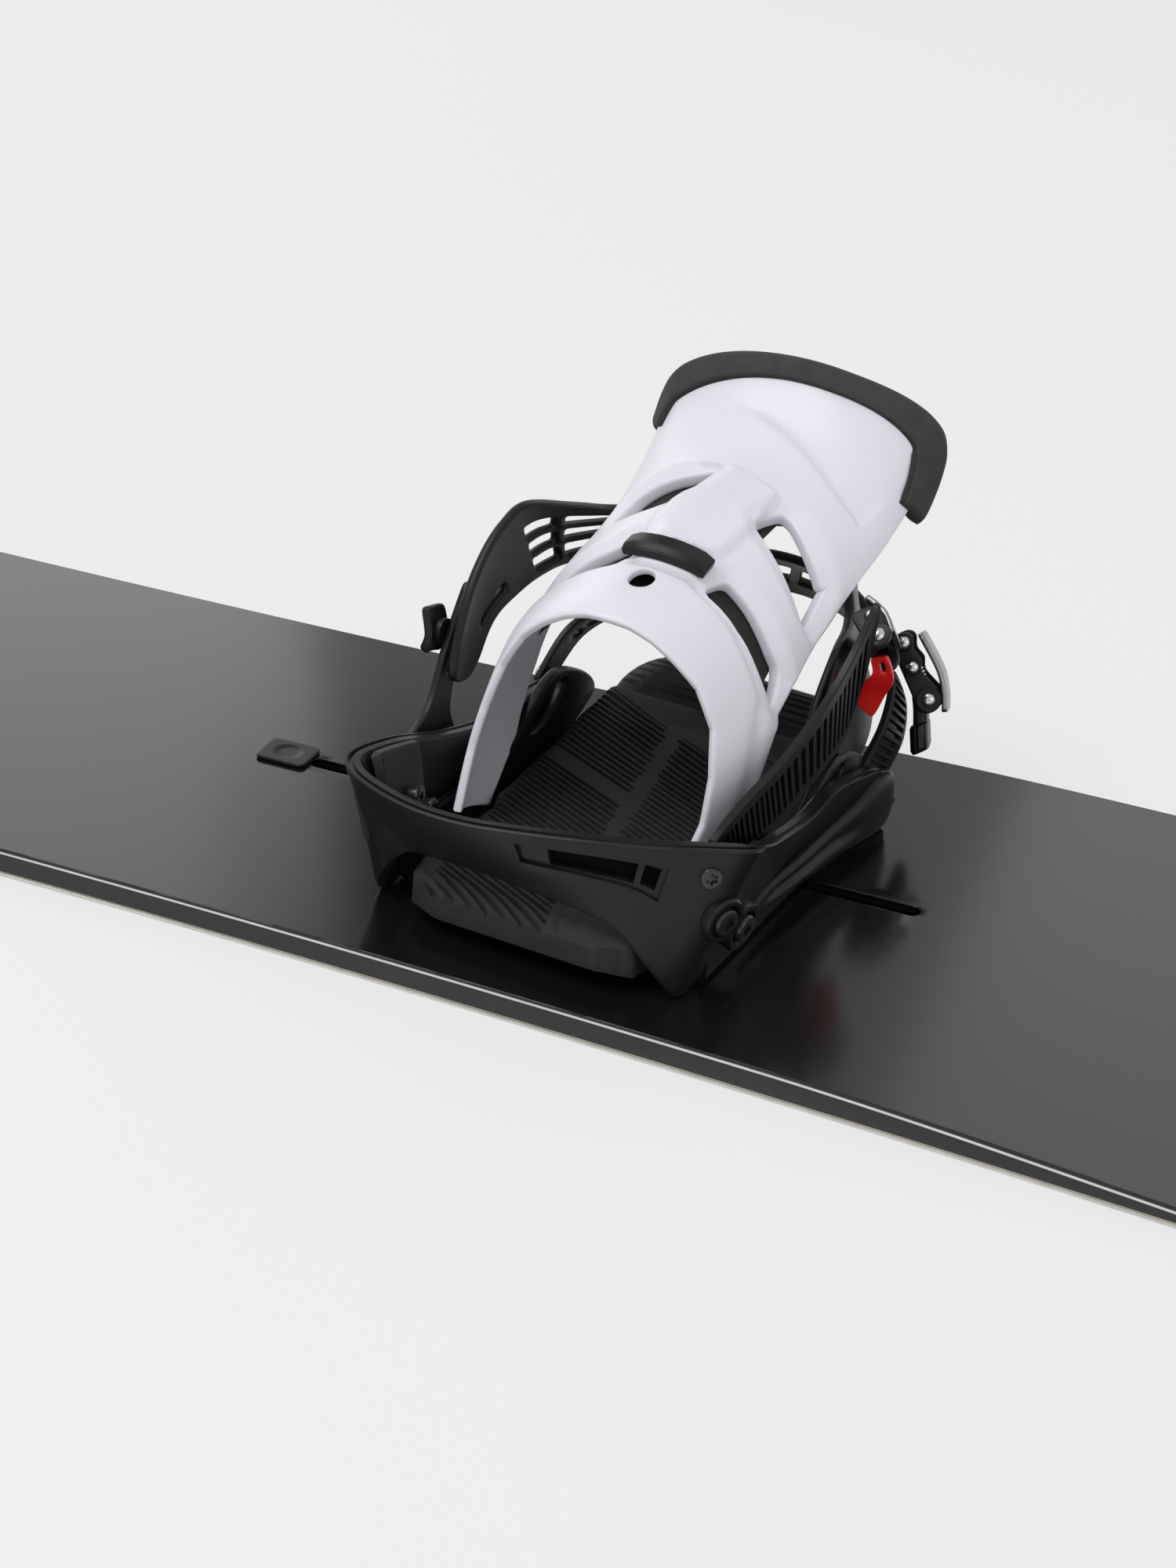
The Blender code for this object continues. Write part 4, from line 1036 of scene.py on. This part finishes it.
# Each band from its root to its tip: its upper and its lower edge
STRAPS = {
    "ankle_connector": (
        ((-81, -88, 30), (-79, -46, 20)),
        ((-82, -66, 44), (-80, -24, 34)),
        ((-83, -42, 53), (-83, -24, 49)),
        ((-85, -27, 73), (-85, -15, 71)),
        ((-85.5, -18, 86), (-85.5, -7, 84)),
        ((-85, -11, 98), (-85, 0, 96)),
    ),
    "ankle_strap": (
        ((-77, -34, 65), (-75, -22, 60)),
        ((-80, -21, 92), (-79, 0, 78)),
        ((-81, -7, 109), (-78, 20, 85)),
        ((-80, 7, 120), (-76, 40, 88)),
        ((-77, 22, 125), (-72, 60, 88)),
        ((-68, 52, 117), (-57, 92, 89)),
        ((-56, 76, 111), (-45, 111, 91)),
        ((-31, 97, 117), (-23, 126, 96)),
        ((0, 104, 122), (0, 134, 98)),
        ((28, 97, 118), (25, 126, 95)),
        ((44, 78, 103), (40, 102, 81)),
        ((53, 62, 94), (51, 84, 71)),
        ((60.5, 32, 95), (58, 86, 54)),
        ((62.5, 13, 82), (61, 82, 38)),
        ((63.5, 2, 66), (62, 68, 28)),
    ),
    "ankle_ladder": (
        ((63, -82, 58), (63, -75, 39)),
        ((64.5, -71, 64), (64.5, -60, 41)),
        ((66, -52, 69), (66, -40, 43)),
        ((67.5, -30, 73), (67.5, -18, 46)),
        ((70, 0, 85), (70, 8, 54)),
        ((72, 18, 99), (72, 23, 65)),
        ((75.5, 33, 122), (75.5, 30, 98)),
    ),
    "toe_connector": (
        ((-79, 44, 34), (-80, 60, 28)),
        ((-74, 60, 54), (-74, 74, 46)),
        ((-66, 76, 62), (-65, 90, 54)),
        ((-58, 88, 66), (-56, 100, 57)),
    ),
    "toe_strap": (
        ((-54, 92, 70), (-52, 106, 54)),
        ((-42, 112, 78), (-42, 126, 58)),
        ((-20, 126, 84), (-20, 141, 62)),
        ((5, 130, 84), (5, 146, 62)),
        ((30, 124, 80), (32, 138, 58)),
        ((54, 104, 74), (56, 120, 54)),
    ),
    "toe_ladder": (
        ((67, 58, 27), (68, 86, 12)),
        ((68, 66, 34), (69, 93, 18)),
        ((70, 74, 46), (71, 99, 30)),
        ((69, 82, 58), (70, 100, 44)),
        ((65, 88, 66), (66, 98, 56)),
    ),
    "ankle_release_tab": (
        ((70.5, 43, 89.5), (79.5, 43, 93)),
        ((72.5, 43, 83), (82.5, 45, 82)),
        ((67, 44.5, 74), (79, 47, 73.5)),
        ((64.5, 45, 69), (75, 47, 62)),
    ),
    "ankle_thumb_lever": (
        ((-93, -30, 72), (-92, -19, 70)),
        ((-90.5, -30, 80), (-89.5, -18, 78)),
        ((-94, -28, 91), (-93, -16, 89)),
    ),
}
PATTERN_HALF = 16.0            # half the width of a band's flat pattern, whatever its real width
THIN = 3.0                     # thickness of ladders and connectors
PADDED = 4.5                   # thickness of the two straps
ROUNDED_END = 7.0              # length over which a ladder's ends are rounded
# Rows of windows in the ankle strap: (shift along it, height in the pattern, window's height)
LATTICE = ((4, 4.2, 4.8), (-1, -2.8, 4.4), (-6, -9.6, 4.6))
# Edges of a ladder's section as (place between its edges, share of its thickness)
LADDER_LOWER = ((-1.0, -0.5), (-1.0, 0.3), (-0.96, 0.5))
LADDER_UPPER = ((0.96, 0.5), (1.0, 0.3), (1.0, -0.5))
SLOT_DEPTH = 1.9


def strap_point(rows, t, w, depth, bulge=0.0):
    """Point of a strap: t along it, w from -1 (lower edge) to 1 (upper edge), depth outwards."""
    upper, lower, ahead = pair_at(rows, t)
    out = ahead.cross(lower - upper).normalized()
    return lower + (upper - lower) * ((w + 1) / 2) + out * (depth + bulge * (1 - w * w))


def strap_length(name):
    mids = [(Vector(a) + Vector(b)) / 2 for a, b in STRAPS[name]]
    return sum((q - p).length for p, q in zip(mids, mids[1:]))


def strap_sheet(name, thick, edge, holes, outline, bulge=0.0, pitch=3.0):
    """Strap cut from a flat pattern; x is millimetres along it and y is across its pattern."""
    rows, length, half = STRAPS[name], strap_length(name), PATTERN_HALF

    def place(x, y, depth):
        return strap_point(rows, x / length, y / half, depth - thick / 2, bulge)
    return flat_sheet([outline] + holes, thick, edge, place,
                      steps(0, length, pitch), steps(-half, half, half / 4))


def rounded_strip(length, radius, root=PATTERN_HALF):
    """Pattern of a plain strip with rounded corners; root is half its width at its start."""
    return round_section([(0, -root), (length, -PATTERN_HALF), (length, PATTERN_HALF), (0, root)], radius)


def slanted(x, y, wide, tall, lean):
    """Rounded slanted window of a strap's lattice."""
    ring = [(x - wide / 2 - lean / 2, y - tall / 2), (x + wide / 2 - lean / 2, y - tall / 2),
            (x + wide / 2 + lean / 2, y + tall / 2), (x - wide / 2 + lean / 2, y + tall / 2)]
    return round_section(ring, 1.6, 3)


def rounded_end(way):
    """Share of its width that a ladder has so many millimetres from its end."""
    return math.sqrt(max(1 - (1 - min(way / ROUNDED_END, 1)) ** 2, 0.02))


def ladder_marks(count, start, end):
    """Places along a ladder where its section changes: both edges of each slot, and its plain ends."""
    pitch = (end - start) / count
    marks = [start + pitch * (k + share) for k in range(count) for share in (0, 0.08, 0.50, 0.58)]
    return sorted([start * t for t in shares(4)[:-1]] + marks + [end + (1 - end) * t for t in shares(6)])


def build_ladder(name, body, count, start, end, low, high):
    """Toothed strap: slots sunk between its two borders, count of them from start to end."""
    rows, length = STRAPS[name], strap_length(name)
    pitch = (end - start) / count
    toothed = ((low - 0.04, 0.5), (low, None), (0.0, None), (high, None), (high + 0.04, 0.5))
    section = LADDER_LOWER + toothed + LADDER_UPPER
    rings = []
    for t in ladder_marks(count, start, end):
        phase = ((t - start) / pitch) % 1 if start <= t < end - 1e-6 else 0.9
        floor = 0.5 * THIN - (SLOT_DEPTH if 0.05 < phase < 0.55 else 0.0)
        squeeze = min(rounded_end(max(1 - t, 0) * length), rounded_end(t * length))
        centre = 0.25 if t > 0.8 else 0.0
        places = [(centre + (w - centre) * squeeze, floor if d is None else d * THIN) for w, d in section]
        rings.append([strap_point(rows, t, w, -depth) for w, depth in places])
    emit(name + "_strip", loft(rings), body, nodes=[name], sharp=32)


def build_connector(name, body, first, pitch, hole, corner):
    """Thin strip with four oval holes."""
    length = strap_length(name)
    holes = [ellipse(length * first + pitch * k, 0, *hole) for k in range(4)]
    bm = strap_sheet(name, THIN, 1.0, holes, rounded_strip(length, corner))
    emit(name + "_strip", bm, body, nodes=[name], sharp=45)


def build_ankle_strap():
    length, half = strap_length("ankle_strap"), PATTERN_HALF
    windows = [slanted(length * 0.255 + 26 * k + shift, y, 21, tall, 3.5)
               for k in range(5) for shift, y, tall in LATTICE]
    windows.append(slanted(length * 0.10, -7, 24, 3.2, 1.5))
    outline = [(0, -half * 0.2), (3, -half * 0.75), (10, -half), (length - 8, -half),
               (length - 2, -half * 0.8), (length, -half * 0.3), (length, half * 0.5), (length - 4, half),
               (8, half), (1, half * 0.6)]
    bm = strap_sheet("ankle_strap", PADDED, 1.6, windows, round_section(outline, 4, 3), bulge=1.6)
    emit("ankle_strap_shell", bm, "ankle_strap", nodes=["ankle_strap"], sharp=45)


def build_toe_strap():
    length = strap_length("toe_strap")
    windows = [slanted(length * 0.16 + 15 * k, 0.5, 9.5, 13, 3.0) for k in range(8)]
    bm = strap_sheet("toe_strap", PADDED, 1.4, windows, rounded_strip(length, 7), bulge=1.0)
    emit("toe_strap_shell", bm, "toe_strap", nodes=["toe_strap"], sharp=45)


def build_root_rivets():
    for place, body, way in (((-87.4, -58, 33), "ankle_strap", (-1, 0, 0)),
                             ((-80.8, 54, 34), "toe_strap", (-1, 0, 0)),
                             ((61.2, -76, 48), "ankle_ladder", (-1, 0, 0.1))):
        emit(f"root_rivet_{body}", turned(place, way, dome(4.2, 1.5, 0.8)), body, "bolt_steel")


build_ankle_strap()
build_connector("ankle_connector", "ankle_strap", 0.55, 9, (2.4, 5.5), 6)
build_ladder("ankle_ladder", "ankle_ladder", 27, 0.10, 0.93, -0.72, 0.62)
build_ladder("toe_ladder", "toe_strap", 13, 0.08, 0.92, -0.75, 0.75)
build_connector("toe_connector", "toe_strap", 0.35, 8, (2.2, 6.0), 5)
build_toe_strap()
build_root_rivets()


# ---- buckles

def buckle_frame(origin, along, outward):
    x = Vector(along).normalized()
    y = Vector(outward).cross(x).normalized()
    z = x.cross(y)
    return Matrix.Translation(origin) @ Matrix((x, y, z)).transposed().to_4x4()


ANKLE_BUCKLE = buckle_frame((75, 37, 100.5), (0.72, -0.49, -0.49), (0.69, 0.51, 0.51))
TOE_BUCKLE = buckle_frame((78, 89, 66), (0.6, -0.15, -0.785), (0.77, 0.38, 0.51))
# Side plates of the buckles as (along, out)
ANKLE_CHEEK = [(-15, 4), (-11, 7), (-4, 6.4), (1, 5), (3.4, 0.5), (1, -4), (-8, -4.5), (-15, -4)]
TOE_CHEEK = [(-19, 1), (-16, 3.6), (-11, 2), (-6, 3.2), (-1, 1.6), (5, 3.4), (10, 5), (15, 3), (16.5, -2),
             (13, -6.5), (4, -5.4), (-8, -6.2), (-18, -5)]
CHEEK = 3.0
LEVER = 2.3
BED = 2.6
PLATE_SAMPLES = 36


def cheeks(name, body, buckle, outline, far):
    """Side plates of a buckle: the near one at 0 across it and the far one further on."""
    for side, across in (("near", 0), ("far", far)):
        bm = flat_sheet([arc_outline(outline, 4)], CHEEK, 0.8,
                        lambda a, o, depth: buckle @ Vector((a, across + depth, o)), [], [])
        emit(f"{name}_cheek_{side}", bm, body)


def plate(buckle, thick, line, near, far, waves=0.0):
    """Lever or tab that follows a line of (along, out) points, with rounded edges."""
    points = [(a, 0, o) for a, o in line]
    rings = []
    for t in shares(PLATE_SAMPLES):
        p = spline(points, t)
        ahead = direction(points, t).normalized()
        normal = Vector((-ahead.z, 0, ahead.x))
        tip = min(min(t, 1 - t) * PLATE_SAMPLES / 4, 1)
        narrow = (1 - math.sqrt(max(1 - (1 - tip) ** 2, 0))) * 3
        half = thick * (1 + waves * math.sin(t * math.pi * 9)) / 2
        section = ((near + narrow, -half), (far - narrow, -half), (far - narrow, half), (near + narrow, half))
        rings.append([buckle @ (Vector((p.x, q.x, p.z)) + normal * q.y)
                      for q in round_section(section, thick * 0.42, 3)])
    return loft(rings)


def rivet(name, body, buckle, along, out, radius, boss):
    """Steel rivet on the near side of a buckle, in a black round boss."""
    way = buckle.to_3x3() @ Vector((0, -1, 0))
    base = buckle @ Vector((along, 0, out))
    emit(name + "_rivet", turned(base, way, dome(radius, radius * 0.55, 1.3), 36), body, "bolt_steel")
    ring = turned(base + way * -0.4, way, [(0, 0), (boss, 0), (boss, 1.2), (boss - 0.5, 1.7), (0, 1.7)], 36)
    emit(name + "_boss", ring, body, sharp=35)


def build_ankle_buckle():
    buckle, body = ANKLE_BUCKLE, "ankle_strap"
    bed = plate(buckle, BED, ((-15, -3), (-7, -3), (1, -3)), 0, 26)
    emit("ankle_buckle_bed", bed, body, nodes=["ankle_buckle"])
    cheeks("ankle", body, buckle, ANKLE_CHEEK, 23)
    rivet("ankle_axle", body, buckle, -1.5, 1.5, 2.9, 5.2)
    rivet("ankle_pin", body, buckle, -11, 2.5, 1.8, 2.6)
    lever = plate(buckle, LEVER, ((-2, 7), (-12, 8), (-22, 4.5)), 3.4, 22.6, waves=0.06)
    emit("ankle_lever_arm", lever, "ankle_lever", "lever_metal", ["ankle_lever"])
    pawl = plate(buckle, 3.0, ((-3, 4.5), (-8, 3), (-13, -0.5)), 4, 22)
    emit("ankle_pawl", pawl, body)


def build_ankle_tab():
    """Red pull tab with a slot in it."""
    length = strap_length("ankle_release_tab")
    slot = slanted(length * 0.18, -2, 3.4, 8, 0.5)
    tab = strap_sheet("ankle_release_tab", 2.4, 0.9, [slot], rounded_strip(length, 5, root=13), pitch=1.2)
    emit("ankle_release_tab", tab, "ankle_release", "release_red", ["ankle_release"])


def build_toe_buckle():
    buckle, body = TOE_BUCKLE, "toe_strap"
    bed = plate(buckle, BED, ((-19, -5), (-2, -5), (15, -5)), 0, 24)
    emit("toe_buckle_bed", bed, body, nodes=["toe_buckle"])
    cheeks("toe", body, buckle, TOE_CHEEK, 21)
    rivet("toe_pin_upper", body, buckle, -15, -0.5, 2.6, 3.4)
    rivet("toe_pin_middle", body, buckle, -4, -1.2, 2.6, 3.4)
    rivet("toe_axle", body, buckle, 11, -0.5, 2.9, 5.4)
    lever = plate(buckle, LEVER, ((-16, 7), (1, 8.3), (11, 6.4), (18.5, 3.4)), -1, 23)
    emit("toe_lever_arm", lever, "toe_lever", "lever_metal", ["toe_lever"])
    neck = plate(buckle, 6.0, ((8, -4), (14, -6), (21, -9)), 3, 20)
    emit("toe_buckle_neck", neck, body)


def build_toe_tab():
    """Fluted tab below the end of the toe lever."""
    rings = []
    for along, share in ((18.8, 0.86), (19.8, 1.0), (28.5, 1.0), (30.3, 0.8)):
        centre = Vector((along, 11.5, -8.4 - 0.38 * (along - 18)))
        ring = []
        for a in (2 * math.pi * t for t in shares(48)[:-1]):
            reach = share * (1 - 0.07 * max(math.sin(8 * a), 0))
            across = 11.5 * reach * math.copysign(abs(math.cos(a)) ** 0.6, math.cos(a))
            ring.append(TOE_BUCKLE @ (centre + Vector((0, across, 4.5 * reach * math.sin(a)))))
        rings.append(ring)
    emit("toe_release_tab", loft(rings), "toe_release", nodes=["toe_release"])


def build_toe_springs():
    for k in range(5):
        along = -2 + 1.6 * k
        wire = cylinder(TOE_BUCKLE @ Vector((along, 4, 0.6)), TOE_BUCKLE @ Vector((along, 20, 0.6)), 0.55, 12)
        emit(f"toe_spring_{k}", wire, "toe_strap", "bolt_steel")


def build_thumb_lever():
    """Lever that sets the length of the ankle connector, and its hub."""
    length = strap_length("ankle_thumb_lever")
    thumb = strap_sheet("ankle_thumb_lever", 4.0, 1.6, [], rounded_strip(length, 5), bulge=0.8, pitch=1.2)
    emit("ankle_thumb_lever", thumb, "ankle_adjuster", nodes=["ankle_adjuster"])
    hub = turned((-87, -22, 80), (-1, 0, 0), [(0, 0), (5.4, 0), (5.4, 2.2), (4.6, 3), (0, 3)])
    emit("ankle_thumb_hub", hub, "ankle_strap", sharp=35)


build_ankle_buckle()
build_ankle_tab()
build_toe_buckle()
build_toe_tab()
build_toe_springs()
build_thumb_lever()


# ---- channel plugs

def build_plug(hand):
    """Cap of a channel's inboard end, dished round its middle."""
    low, high = [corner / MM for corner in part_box("channel_plug_" + hand)]
    x0, y0, x1, y1 = low.x, low.y, high.x, high.y
    middle = Vector(((x0 + x1) / 2, (y0 + y1) / 2))
    thick = high.z - low.z
    outline = round_section([(x0, y0), (x1, y0), (x1, y1), (x0, y1)], 3.2, 5)

    def place(x, y, depth):
        dent = 0.5 * (1 - smooth(4.5, 6.5, math.hypot(x - middle.x, y - middle.y))) * (depth / thick)
        return Vector((x, y, low.z + depth - dent))
    bm = flat_sheet([outline], thick, 0.6, place, steps(x0, x1, 1.0), steps(y0, y1, 1.0))
    board_object("channel_plug_cap_" + hand, bm, "nylon_black", ["channel_plug_" + hand])


for plug_hand in BINDING:
    build_plug(plug_hand)


# ---- camera, light and floor

CAMERA_YAW, CAMERA_PITCH, CAMERA_ROLL = math.radians(-17.98), math.radians(28.007), math.radians(5.028)
CAMERA_FROM_BINDING = Vector((0.2519, -0.8572, 0.5005))
CAMERA_LENS, CAMERA_SENSOR = 56.76, 36
FLOOR_SIZE, FLOOR_DROP = 24, 0.0005
FLOOR_GREY, FLOOR_GLOW = 0.26, 0.61
WORLD_COLOUR, WORLD_STRENGTH = (0.93, 0.93, 0.94, 1), 0.68
FOCUS = Vector((0.28, 0.0, 0.08))
# name: place, size, power
LIGHTS = {
    "key": ((-0.5, -0.6, 1.6), (0.9, 0.9), 10),
    "fill": ((1.4, -0.9, 0.9), (0.8, 0.8), 2),
    "back": ((-1.3, 1.5, 1.0), (1.4, 1.0), 5),
    "right": ((0.75, 2.4, 1.75), (1.3, 1.3), 4),
}
FLAG_PLACE, FLAG_SIZE = (-0.75, 2.7, 2.35), (1.1, 1.5)


def build_camera():
    yaw, pitch, roll = CAMERA_YAW, CAMERA_PITCH, CAMERA_ROLL
    forward = Vector((math.sin(yaw) * math.cos(pitch), math.cos(yaw) * math.cos(pitch), -math.sin(pitch)))
    right = Vector((math.cos(yaw), -math.sin(yaw), 0))
    up = right.cross(forward)
    x = right * math.cos(roll) + up * math.sin(roll)
    y = -right * math.sin(roll) + up * math.cos(roll)
    data = bpy.data.cameras.new("camera")
    data.lens = CAMERA_LENS
    data.sensor_width = CAMERA_SENSOR
    camera = scene_object("camera", data)
    place = BINDING["right"].translation + CAMERA_FROM_BINDING
    camera.matrix_world = Matrix.Translation(place) @ Matrix((x, y, -forward)).transposed().to_4x4()
    bpy.context.scene.camera = camera


def aim(obj, place):
    obj.location = place
    obj.rotation_euler = (FOCUS - Vector(place)).to_track_quat("-Z", "Y").to_euler()


def build_lights():
    for name, (place, size, power) in LIGHTS.items():
        data = bpy.data.lights.new(name, "AREA")
        data.shape = "RECTANGLE"
        data.size, data.size_y = size
        data.energy = power
        lamp = scene_object(name, data)
        aim(lamp, place)
    world = bpy.data.worlds.new("studio")
    world.use_nodes = True
    world.node_tree.nodes["Background"].inputs["Color"].default_value = WORLD_COLOUR
    world.node_tree.nodes["Background"].inputs["Strength"].default_value = WORLD_STRENGTH
    bpy.context.scene.world = world
    bpy.context.scene.view_settings.view_transform = "Standard"


def matte_card(name, width, height, grey, glow=0.0):
    """Flat matte sheet of the stage."""
    bm = bmesh.new()
    bmesh.ops.create_grid(bm, x_segments=1, y_segments=1, size=0.5)
    bmesh.ops.scale(bm, vec=(width, height, 1), verts=bm.verts)
    card = scene_object(name, mesh_of(name, bm))
    mat = bpy.data.materials.new(name + "_matte")
    mat.use_nodes = True
    shader = mat.node_tree.nodes["Principled BSDF"]
    shader.inputs["Base Color"].default_value = (grey, grey, grey, 1)
    shader.inputs["Roughness"].default_value = 1.0
    shader.inputs["Specular IOR Level"].default_value = 0.0
    shader.inputs["Emission Color"].default_value = (1, 1, 1, 1)
    shader.inputs["Emission Strength"].default_value = glow
    card.data.materials.append(mat)
    return card


def build_stage():
    """Pale floor, and a black flag out of view, mirrored by the topsheet in front of the binding."""
    floor = matte_card("floor", FLOOR_SIZE, FLOOR_SIZE, FLOOR_GREY, FLOOR_GLOW)
    floor.location.z = -FLOOR_DROP
    aim(matte_card("flag", *FLAG_SIZE, 0.005), FLAG_PLACE)


build_camera()
build_lights()
build_stage()
